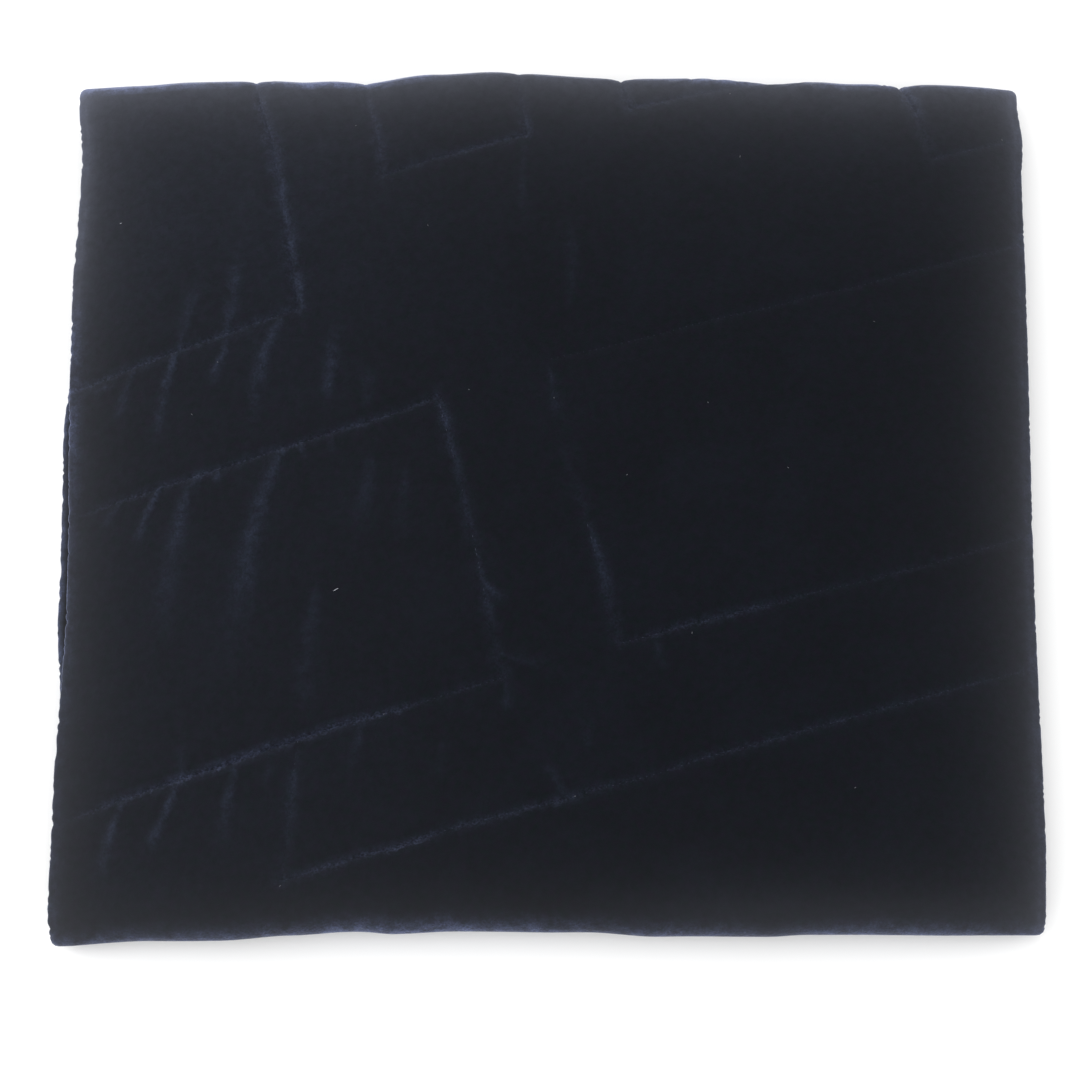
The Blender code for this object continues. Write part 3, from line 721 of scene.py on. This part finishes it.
def rows_along_lines(step, offsets):
    """Points on each sewn line and in rows beside it, clear of the other lines."""
    rows = []
    for sewn in QUILTING:
        for start, end in zip(sewn.corners[:-1], sewn.corners[1:]):
            start, end = np.array(start), np.array(end)
            length = np.linalg.norm(end - start)
            shares = spread(0, 1, step / length)[:, None]
            side = np.array([start[1] - end[1], end[0] - start[0]]) / length
            for away in offsets:
                row = start + shares * (end - start) + side * away
                rows.append(row[np.abs(from_sewn_lines(row)[0] - abs(away)) < TINY])
    return np.concatenate(rows)


def filler(low, high, step, clear):
    """An even triangular grid of points between the rows beside the sewn lines."""
    grid = []
    for count, v in enumerate(spread(low, high, step * 0.866)[1:-1]):
        start = -WIDTH / 2 + (count % 2) * step / 2
        row = np.arange(start, WIDTH / 2, step)
        grid.append(np.stack([row, np.full(len(row), v)], axis=1))
    grid = np.concatenate(grid)
    return grid[from_sewn_lines(grid)[0] > clear]


def apart(points, least):
    """The points without those that share a small square cell with an earlier one."""
    cells = np.floor(points / least).astype(int)
    _, first = np.unique(cells, axis=0, return_index=True)
    return points[np.sort(first)]


def columns():
    """X of the columns of points that stay coarse."""
    inward = np.array(ACROSS)
    return np.concatenate([-SIDE + inward, [0.0], SIDE - inward[::-1]])


def outer_face_points(stations):
    """(border of the outer face in (x, v), all the points inside it)"""
    across = columns()
    right = [(SIDE, v) for v in stations]
    left = [(-SIDE, v) for v in stations]
    hem = [(x, stations[0]) for x in across]
    fold = [(x, stations[-1]) for x in across]
    border = np.array(right + fold[-2:0:-1] + left[::-1] + hem[1:-1])
    top_low = ROLL_END + ROLL_LENGTH * 0.3
    inside = [rows_along_lines(LINE_STEP, LINE_OFFSETS)]
    for row in SEAM_ROWS:
        for side in (-1, 1):
            inside.append(np.array([(side * (SIDE - row), v) for v in stations[1:-1]]))
    fine = filler(top_low, FOLD_END, TOP_STEP, FIELD_CLEAR)
    coarse = filler(stations[0], top_low, UNDER_STEP, 0.0)
    inside += [grid[np.abs(grid[:, 0]) < SIDE - SEAM_ROWS[-1] - SEAM_CLEAR] for grid in (fine, coarse)]
    inside = np.concatenate(inside)
    clear = np.abs(inside[:, 0]) < SIDE - BORDER_CLEAR
    clear = clear & (inside[:, 1] > stations[0] + BORDER_CLEAR)
    inside = inside[clear & (inside[:, 1] < stations[-1] - FOLD_CLEAR)]
    return border, apart(inside, LEAST_APART)


def closed_edge(shell, wrap, border, outward, outer_ring, inner_ring, thick, draw):
    """Rounds the edge of the cloth from its outer face to its inner one, all the way round."""
    loops = [outer_ring]
    for angle in EDGE_ANGLES:
        out = (NOSE - draw) * cos(angle)
        places = border + outward * out[:, None]
        loops.append(shell.add(wrap(places[:, 0], places[:, 1], thick * (1 + sin(angle)) / 2)))
    loops.append(inner_ring)
    for one, other in zip(loops[:-1], loops[1:]):
        shell.strip([*one, one[0]], [*other, other[0]])


def outwards(border, first, last):
    """The way out of the cloth at each border point; an end that is joined on has none."""
    x, v = border[:, 0], border[:, 1]
    out_x = np.where(np.abs(x) > SIDE - TINY, np.sign(x), 0.0)
    out_v = np.where(v > v.max() - TINY, last, 0.0) + np.where(v < v.min() + TINY, -first, 0.0)
    return np.stack([out_x, out_v], axis=1)


def drawn_in(border, cloth):
    """How far the puckers of the side seams draw the round edge in at each border point."""
    draw = cloth.pucker_depth * seam_puckers(border[:, 1], np.sign(border[:, 0]), cloth)
    return draw * (np.abs(border[:, 0]) > SIDE - TINY)


def ring_of(grid):
    """What lies round the edge of a grid of rows of v and columns of x, in the border's order."""
    right = grid[:, -1]
    fold = grid[-1, -2:0:-1]
    left = grid[::-1, 0]
    hem = grid[0, 1:-1]
    return np.concatenate([right, fold, left, hem])


def float_attribute(made, name, values):
    attribute = made.data.attributes.new(name, "FLOAT", "POINT")
    attribute.data.foreach_set("value", np.asarray(values, np.float32))


class STOLE_OT_outer_cloth(bpy.types.Operator):
    """The outer cloth: the lowest stretch, the front roll, the quilted top and the back fold."""

    bl_idname = "stole.outer_cloth"
    bl_label = "Outer cloth"

    def execute(self, context):
        cloth = context.scene.stole_cloth
        stations = spread(OUTER_HEM + NOSE, FOLD_END, SEAM_STEP)
        border, inside = outer_face_points(stations)
        corners = [Vector(p) for p in np.concatenate([border, inside])]
        outline = [list(range(len(border)))]
        found = delaunay_2d_cdt(corners, [], outline, 1, TINY)
        flat = np.array([tuple(p) for p in found[0]])

        shell = Shell()
        outer = shell.add(wrap_outer(flat[:, 0], flat[:, 1], outer_lift(flat, cloth)))
        shell.faces.append(outer[np.array(found[2])])
        at_border = {source: outer[n] for n, sources in enumerate(found[3]) for source in sources}
        outer_ring = np.array([at_border[n] for n in range(len(border))])
        inner = shell.add(wrap_outer(columns()[None, :], stations[:, None], 0.0))
        shell.grid(inner)
        thick, draw = outer_lift(border, cloth), drawn_in(border, cloth)
        outward = outwards(border, 1.0, 0.0)
        closed_edge(shell, wrap_outer, border, outward, outer_ring, ring_of(inner), thick, draw)
        made = shell.object("outer_cloth", velvet("quilted_velvet", context.scene.stole_velvet))
        # Painted sheen on the round edge, most along its rim
        rim = np.outer(PAINTED_EDGE_GLEAM, painted_rim_gleam(*flat[outer_ring].T)).ravel()
        for name, values in pile_looks(flat, cloth).items():
            round_edge = np.tile(values[outer_ring], len(EDGE_ANGLES)) + rim * (name == "painted_gleam")
            float_attribute(made, name, np.concatenate([values, np.zeros(inner.size), round_edge]))
        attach(made, "root")
        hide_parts("top_stretch", "under_stretch")
        return {"FINISHED"}


class STOLE_OT_inner_cloth(bpy.types.Operator):
    """The inner cloth: the two hidden stretches, turning over inside the front roll."""

    bl_idname = "stole.inner_cloth"
    bl_label = "Inner cloth"

    def execute(self, context):
        cloth = context.scene.stole_cloth
        start = -INNER_TOP_LENGTH
        end = TURN_LENGTH + INNER_LOW_LENGTH - NOSE
        stations = spread(start, end, 2 * SEAM_STEP)
        turning = spread(0, TURN_LENGTH, TURN_LENGTH / 10)
        stations = np.unique(np.concatenate([stations[(stations < 0) | (stations > TURN_LENGTH)], turning]))
        tucked = columns() * (SIDE - INNER_TUCK) / SIDE
        x, v = np.meshgrid(columns(), stations)
        placed_x = np.tile(tucked, (len(stations), 1))
        thick = LAYER - HIDDEN_THINS * (seam_puckers(v, np.sign(x), cloth) * (np.abs(x) > SIDE - TINY))

        shell = Shell()
        outer = shell.add(wrap_inner(placed_x, v, thick))
        shell.grid(outer)
        inner = shell.add(wrap_inner(placed_x, v, 0.0))
        shell.grid(inner)
        border = ring_of(np.stack([x, v], axis=-1))
        draw = drawn_in(border, cloth)
        outward = outwards(border, 0.0, 1.0)
        border = ring_of(np.stack([placed_x, v], axis=-1))
        closed_edge(
            shell, wrap_inner, border, outward, ring_of(outer), ring_of(inner), ring_of(thick), draw
        )
        made = shell.object("inner_cloth", velvet("hidden_velvet", context.scene.stole_velvet))
        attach(made, "root")
        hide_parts("inner_layers")
        return {"FINISHED"}


def principled(name, colour, roughness):
    """A new material with its Principled surface."""
    material = bpy.data.materials.new(name)
    material.use_nodes = True
    surface = material.node_tree.nodes["Principled BSDF"]
    surface.inputs["Base Color"].default_value = (*colour, 1.0)
    surface.inputs["Roughness"].default_value = roughness
    surface.inputs["Metallic"].default_value = 0.0
    return material, surface


def feed(material, value, socket):
    """Links a texture's value to a socket, or sets a number or colour there."""
    if isinstance(value, bpy.types.NodeSocket):
        material.node_tree.links.new(value, socket)
    elif socket.type == "RGBA":
        socket.default_value = (*value, 1.0)
    else:
        socket.default_value = value


def node(material, kind, **inputs):
    """A new node with its named inputs set or linked."""
    made = material.node_tree.nodes.new(kind)
    for name, value in inputs.items():
        feed(material, value, made.inputs[name.replace("_", " ")])
    return made


def noise_of(material, scale, detail, roughness):
    """Soft noise that stays where it is on the piece."""
    spot = node(material, "ShaderNodeTexCoord").outputs["Object"]
    kind = "ShaderNodeTexNoise"
    return node(material, kind, Vector=spot, Scale=scale, Detail=detail, Roughness=roughness).outputs["Fac"]


def mixed(material, share, one, other, blend="MIX"):
    """A colour between two, or one with some of the other added, by a share that a texture gives."""
    made = node(material, "ShaderNodeMix")
    made.data_type = "RGBA"
    made.blend_type = blend
    feed(material, share, made.inputs["Factor"])
    for name, value in (("A", one), ("B", other)):
        feed(material, value, [s for s in made.inputs if s.name == name and s.type == "RGBA"][0])
    return [s for s in made.outputs if s.type == "RGBA"][0]


def ranged(material, value, low, high, to_low=0.0, to_high=1.0):
    """A texture's value, stretched from one range to another."""
    limits = {"From_Min": low, "From_Max": high, "To_Min": to_low, "To_Max": to_high}
    return node(material, "ShaderNodeMapRange", Value=value, **limits).outputs["Result"]


def computed(material, operation, one, other=0.0):
    """A texture's value after a step of arithmetic."""
    made = node(material, "ShaderNodeMath")
    made.operation = operation
    for socket, value in zip(made.inputs, (one, other)):
        feed(material, value, socket)
    return made.outputs["Value"]


def value_of(material, name):
    """What the cloth stores at each point under this name."""
    made = node(material, "ShaderNodeAttribute")
    made.attribute_name = name
    return made.outputs["Fac"]


def product(material, *values):
    result = values[0]
    for value in values[1:]:
        result = computed(material, "MULTIPLY", result, value)
    return result


def bumped(material, height, strength, distance, *below):
    """The way a finely uneven surface faces, over another unevenness or on its own."""
    made = node(material, "ShaderNodeBump", Strength=strength, Distance=distance, Height=height)
    for normal in below:
        feed(material, normal, made.inputs["Normal"])
    return made.outputs["Normal"]


def pile_colour(material, colours, cloth, grain, tufts):
    """Colour of the pile, with random tone, painted highlights on the creases and painted sheen by the
    lines, edges, roll and fold.
    """
    speckled = ranged(material, grain, 0.30, 0.70, 0.35, 1.65)
    mottled = ranged(material, tufts, 0.30, 0.70, 0.60, 1.40)
    clumps = ranged(material, noise_of(material, 95.0, 3.0, 0.7), 0.34, 0.68, 0.35, 1.65)
    patches = noise_of(material, 26.0, 3.0, 0.6)
    hue = ranged(material, noise_of(material, 230.0, 3.0, 0.8), 0.30, 0.70)
    pile = np.array(colours.pile)
    colour = mixed(material, hue, pile * (0.62, 1.14, 0.80), pile * (1.34, 0.86, 1.18))

    # Painted highlights on the creases, and painted light on the far left
    crease_sheen = product(material, cloth["ridge"], mottled, speckled, clumps, 0.8)
    reach = ranged(material, cloth["lengthwise"], 0.0, 1.0, 1.0, 1.5)
    haze = ranged(material, computed(material, "DIVIDE", cloth["away"], reach), 0.0, 5.0, 0.46, 0.0)
    leaning = ranged(material, cloth["lean"], -1.5, 1.5, 0.75, 1.2)
    # Painted sheen beside the sewn lines
    beside = product(material, cloth["pull"], mottled, speckled, haze, clumps, leaning)
    uneven = product(material, ranged(material, patches, 0.42, 0.70, 0.0, 0.06), speckled)
    uneven = computed(material, "ADD", uneven, ranged(material, tufts, 0.35, 0.70, 0.0, 0.075))
    brushed_and_sheen = computed(material, "ADD", computed(material, "ADD", crease_sheen, beside), uneven)
    colour = mixed(material, brushed_and_sheen, colour, colours.brushed_and_sheen)

    # Painted sheen and light towards the seams, the folds and the left
    edge_sheen_share = product(material, cloth["edge_sheen"], ranged(material, tufts, 0.3, 0.7, 0.88, 1.12))
    colour = mixed(material, edge_sheen_share, colour, colours.edge_sheen)
    # Painted sheen on the front roll, the back fold and the rims
    gleam = product(material, cloth["painted_gleam"], speckled, mottled, clumps)
    return mixed(material, gleam, colour, colours.painted_sheen, "ADD")


def painted_line_sheen(material, cloth, grain):
    """Painted sheen along each sewn line, where the thread parts the pile: a ragged line that drifts and
    swells.
    """
    lean, away = cloth["lean"], cloth["away"]
    drift = ranged(material, noise_of(material, 150.0, 2.0, 0.75), 0.30, 0.70, -0.75, 0.75)
    moved = computed(material, "ABSOLUTE", computed(material, "ADD", lean, drift))
    beyond = computed(material, "SUBTRACT", away, computed(material, "ABSOLUTE", lean))
    from_thread = computed(material, "ADD", moved, beyond)
    width = ranged(material, noise_of(material, 330.0, 3.0, 0.8), 0.35, 0.66, 0.45, 2.80)
    width = product(material, width, ranged(material, cloth["lengthwise"], 0.0, 1.0, 1.0, 2.2))
    core = ranged(material, computed(material, "DIVIDE", from_thread, width), 0.0, 1.30, 1.0, 0.0)
    strands = ranged(material, noise_of(material, 75.0, 3.0, 0.7), 0.34, 0.66, 0.30, 1.30)
    flecks = ranged(material, grain, 0.40, 0.66, 0.10, 2.20)
    strength = ranged(material, cloth["lengthwise"], 0.0, 1.0, 0.34, 0.22)
    return product(material, cloth["pull"], core, strands, flecks, strength)


def velvet(name, colours):
    """Short cut pile: dark from above, with painted highlights and sheen on the creases, the edges and along
    the ragged sewn lines.
    """
    material, surface = principled(name, colours.pile, 1.0)
    surface.inputs["Specular IOR Level"].default_value = 0.08
    surface.inputs["Sheen Weight"].default_value = colours.sheen_weight
    surface.inputs["Sheen Roughness"].default_value = colours.sheen_roughness
    surface.inputs["Sheen Tint"].default_value = (*colours.sheen, 1.0)
    keys = ("ridge", "edge_sheen", "painted_gleam", "pull", "away", "lean", "lengthwise")
    cloth = {key: value_of(material, key) for key in keys}
    grain = noise_of(material, 900.0, 2.0, 0.7)
    tufts = noise_of(material, 260.0, 3.0, 0.65)
    colour = pile_colour(material, colours, cloth, grain, tufts)
    # Painted sheen along the sewn lines
    colour = mixed(material, painted_line_sheen(material, cloth, grain), colour, colours.line_sheen, "ADD")
    feed(material, colour, surface.inputs["Base Color"])
    rough = bumped(material, grain, 0.6, 0.0004)
    feed(material, bumped(material, tufts, 0.6, 0.0010, rough), surface.inputs["Normal"])
    return material


def thread_material():
    """Dark navy sewing thread, with the twist of its plies."""
    material, surface = principled("navy_thread", (0.010, 0.012, 0.026), 0.6)
    surface.inputs["Specular IOR Level"].default_value = 0.3
    twist = noise_of(material, 2600.0, 1.0, 0.5)
    colour = mixed(material, twist, (0.010, 0.012, 0.024), (0.028, 0.033, 0.060))
    feed(material, colour, surface.inputs["Base Color"])
    feed(material, bumped(material, twist, 0.4, 0.0001), surface.inputs["Normal"])
    return material


def lint_material(name, brightness):
    """Grey lint, uneven along its fibres."""
    material, surface = principled(name, (brightness, brightness, 1.15 * brightness), 0.9)
    dull, bright = (np.array((1.0, 1.03, 1.16)) * brightness * share for share in (0.5, 1.5))
    colour = mixed(material, noise_of(material, 1500.0, 1.0, 0.5), dull, bright)
    feed(material, colour, surface.inputs["Base Color"])
    return material


def surface_height(points, cloth):
    """Places on the quilted face, and the way up there, at (x, v) points of the top."""
    spots = np.concatenate([points, points + [SLOPE_STEP, 0], points + [0, SLOPE_STEP]])
    placed = wrap_outer(spots[:, 0], spots[:, 1], outer_lift(spots, cloth)).reshape(3, -1, 3)
    up = np.cross(placed[1] - placed[0], placed[2] - placed[0])
    return placed[0], up / np.linalg.norm(up, axis=1)[:, None]


def laid(places, along, up):
    """For each piece, the matrix that lays it at its place, with X along and Z up."""
    along = along - up * (along * up).sum(axis=1)[:, None]
    along = along / np.linalg.norm(along, axis=1)[:, None]
    across = np.cross(up, along)
    turns = []
    for spot, x, y, z in zip(places, along, across, up):
        turns.append(Matrix.Translation(Vector(spot)) @ Matrix((x, y, z)).transposed().to_4x4())
    return turns


def copied(pattern, turns, name):
    """Copies a modelled piece to each place, joins the copies and removes the pattern."""
    copies = []
    for turn in turns:
        copy = bpy.data.objects.new(name, pattern.data.copy())
        copy.data.transform(turn)
        bpy.context.scene.collection.objects.link(copy)
        copies.append(copy)
    made = joined(copies, name)
    bpy.data.objects.remove(pattern, do_unlink=True)
    return made


def modelled_fibre(name, length, thick, sag, material):
    """A short round fibre along X with tapering ends, sagging at its ends into the pile."""
    nothing_selected()
    bpy.ops.mesh.primitive_cylinder_add(
        vertices=FIBRE_SIDES, radius=thick / 2, depth=length, rotation=(0, pi / 2, 0)
    )
    made = bpy.context.view_layer.objects.active
    made.name = name
    bpy.ops.object.transform_apply(location=True, rotation=True, scale=True)
    bpy.ops.object.mode_set(mode="EDIT")
    for x in (-length / 4, length / 4):
        bpy.ops.mesh.select_all(action="SELECT")
        bpy.ops.mesh.bisect(plane_co=(x, 0, 0), plane_no=(1, 0, 0))
    bpy.ops.object.mode_set(mode="OBJECT")
    for vertex in made.data.vertices:
        share = abs(vertex.co.x) / (length / 2)
        slim = 1 - 0.55 * share**4
        vertex.co.y *= slim
        vertex.co.z = vertex.co.z * slim - sag * share**2
    bpy.ops.object.shade_smooth()
    made.data.materials.append(material)
    return made


class STOLE_OT_stitches(bpy.types.Operator):
    """The quilting stitches, one by one, sunk in the pile along each sewn line."""

    bl_idname = "stole.stitches"
    bl_label = "Quilting stitches"

    def execute(self, context):
        sewing = context.scene.stole_sewing
        cloth = context.scene.stole_cloth
        thick = sewing.thread
        pattern = modelled_fibre("stitch", sewing.stitch, thick, 0.8 * thick, thread_material())
        spots, runs = [], []
        for sewn in QUILTING:
            for start, end in zip(sewn.corners[:-1], sewn.corners[1:]):
                start, end = np.array(start), np.array(end)
                length = np.linalg.norm(end - start)
                count = max(int(length / sewing.pitch), 1)
                for place_ in (np.arange(count) + 0.5) / count:
                    spot = start + (end - start) * place_
                    if abs(spot[0]) < SIDE and spot[1] < FOLD_END - sewing.pitch:
                        spots.append(spot)
                        runs.append((end - start) / length)
        spots, runs = np.array(spots), np.array(runs)
        places, up = surface_height(spots, cloth)
        ahead, _ = surface_height(spots + runs * AHEAD, cloth)
        turns = laid(places - up * STITCH_SINKS, ahead - places, up)
        made = copied(pattern, turns, "quilting_stitches")
        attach(made, "root")
        return {"FINISHED"}


class STOLE_OT_lint(bpy.types.Operator):
    """A few specks of pale lint that lie on the pile."""

    bl_idname = "stole.lint"
    bl_label = "Lint"

    def execute(self, context):
        cloth = context.scene.stole_cloth
        greys = {0.36: lint_material("pale_lint", 0.36), 0.10: lint_material("dim_lint", 0.10)}
        fibres = []
        for x, y, long, turn, brightness in SPECKS:
            fibre = modelled_fibre("lint_fibre", long, LINT_THICK, LINT_SAG, greys[brightness])
            places, up = surface_height(np.array([(x, y)]), cloth)
            along = np.array([(cos(radians(turn)), sin(radians(turn)), 0.0)])
            fibre.data.transform(laid(places + up * LINT_STANDS, along, up)[0])
            fibres.append(fibre)
        lint = joined(fibres, "lint_specks")
        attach(lint, "root")
        return {"FINISHED"}


def floor_material():
    """Plain white paper, with the faintest unevenness."""
    material, surface = principled("white_floor", (0.93, 0.93, 0.93), 0.9)
    uneven = noise_of(material, 3.0, 1.0, 0.5)
    feed(material, mixed(material, uneven, (0.92,) * 3, (0.94,) * 3), surface.inputs["Base Color"])
    return material


def soft_box(name, spot, size, power):
    """A large white light that looks at the stole."""
    data = bpy.data.lights.new(name, "AREA")
    data.shape = "RECTANGLE"
    data.size, data.size_y = size
    data.energy = power
    made = bpy.data.objects.new(name, data)
    made.location = spot
    made.rotation_euler = (Vector((0, 0, 0)) - Vector(spot)).to_track_quat("-Z", "Y").to_euler()
    bpy.context.scene.collection.objects.link(made)


def veiling_glow(scene, studio):
    """The bright surround scatters in the lens and lifts the dark cloth near its edges."""
    scene.use_nodes = True
    tree = scene.node_tree
    tree.nodes.clear()
    picture = tree.nodes.new("CompositorNodeRLayers").outputs["Image"]
    clipped = tree.nodes.new("CompositorNodeMixRGB")
    clipped.blend_type = "DARKEN"
    tree.links.new(picture, clipped.inputs[1])
    clipped.inputs[2].default_value = (1, 1, 1, 1)
    result = picture
    for size, strength in ((studio.near_glow, studio.near_strength), (studio.far_glow, studio.far_strength)):
        blur = tree.nodes.new("CompositorNodeBlur")
        blur.filter_type = "FAST_GAUSS"
        blur.size_x = blur.size_y = size
        tree.links.new(clipped.outputs["Image"], blur.inputs["Image"])
        added = tree.nodes.new("CompositorNodeMixRGB")
        added.blend_type = "ADD"
        added.inputs["Fac"].default_value = strength
        tree.links.new(result, added.inputs[1])
        tree.links.new(blur.outputs["Image"], added.inputs[2])
        result = added.outputs["Image"]
    out = tree.nodes.new("CompositorNodeComposite")
    tree.links.new(result, out.inputs["Image"])


class STOLE_OT_studio(bpy.types.Operator):
    """The pale floor, the soft light round the stole and the camera."""

    bl_idname = "stole.studio"
    bl_label = "Studio"

    def execute(self, context):
        studio = context.scene.stole_studio
        scene = context.scene
        nothing_selected()
        bpy.ops.mesh.primitive_plane_add(size=8.0, location=(0, 0, FLOOR_Z))
        floor = context.view_layer.objects.active
        floor.name = "floor"
        bpy.ops.object.transform_apply(location=True, rotation=True, scale=True)
        floor.data.materials.append(floor_material())

        world = bpy.data.worlds.new("white_tent")
        world.use_nodes = True
        tent = world.node_tree.nodes["Background"]
        tent.inputs["Color"].default_value = (1, 1, 1, 1)
        tent.inputs["Strength"].default_value = studio.surround
        scene.world = world
        for name, spot, size, share in SOFT_BOXES:
            soft_box(name, spot, size, studio.side_light * share)

        data = bpy.data.cameras.new("camera")
        data.lens = studio.lens
        data.sensor_width = 36.0
        data.clip_start = 0.05
        camera = bpy.data.objects.new("camera", data)
        aim = Vector((AIM[0] + SHIFT[0], AIM[1] + SHIFT[1], 0.0))
        away = Vector((0, -sin(studio.tilt), cos(studio.tilt)))
        camera.location = aim + away * studio.distance
        camera.rotation_euler = (-away).to_track_quat("-Z", "Y").to_euler()
        scene.collection.objects.link(camera)
        scene.camera = camera
        scene.view_settings.view_transform = "Standard"
        scene.view_settings.look = "None"
        veiling_glow(scene, studio)
        return {"FINISHED"}


class STOLE_PT_panel(bpy.types.Panel):
    """Lists the pieces of the stole."""

    bl_idname = "STOLE_PT_panel"
    bl_label = "Evening Stole"
    bl_space_type = "VIEW_3D"
    bl_region_type = "UI"
    bl_category = "Stole"

    def draw(self, context):
        layout = self.layout
        scene = context.scene
        for settings in (scene.stole_cloth, scene.stole_sewing, scene.stole_velvet, scene.stole_studio):
            box = layout.box()
            for name in settings.__annotations__:
                box.prop(settings, name)
        for operator in PIECES:
            layout.operator(operator.bl_idname)


PIECES = (
    STOLE_OT_outer_cloth,
    STOLE_OT_inner_cloth,
    STOLE_OT_stitches,
    STOLE_OT_lint,
    STOLE_OT_studio,
)
SETTINGS = {
    "stole_cloth": StoleClothSettings,
    "stole_sewing": StoleSewingSettings,
    "stole_velvet": StoleVelvetSettings,
    "stole_studio": StoleStudioSettings,
}


def register():
    for kind in (*SETTINGS.values(), *PIECES, STOLE_PT_panel):
        bpy.utils.register_class(kind)
    for name, kind in SETTINGS.items():
        setattr(bpy.types.Scene, name, PointerProperty(type=kind))


def unregister():
    for name in SETTINGS:
        delattr(bpy.types.Scene, name)
    for kind in (STOLE_PT_panel, *PIECES, *SETTINGS.values()):
        bpy.utils.unregister_class(kind)


def main():
    register()
    bpy.ops.stole.outer_cloth()
    bpy.ops.stole.inner_cloth()
    bpy.ops.stole.stitches()
    bpy.ops.stole.lint()
    bpy.ops.stole.studio()


if __name__ == "__main__":
    main()
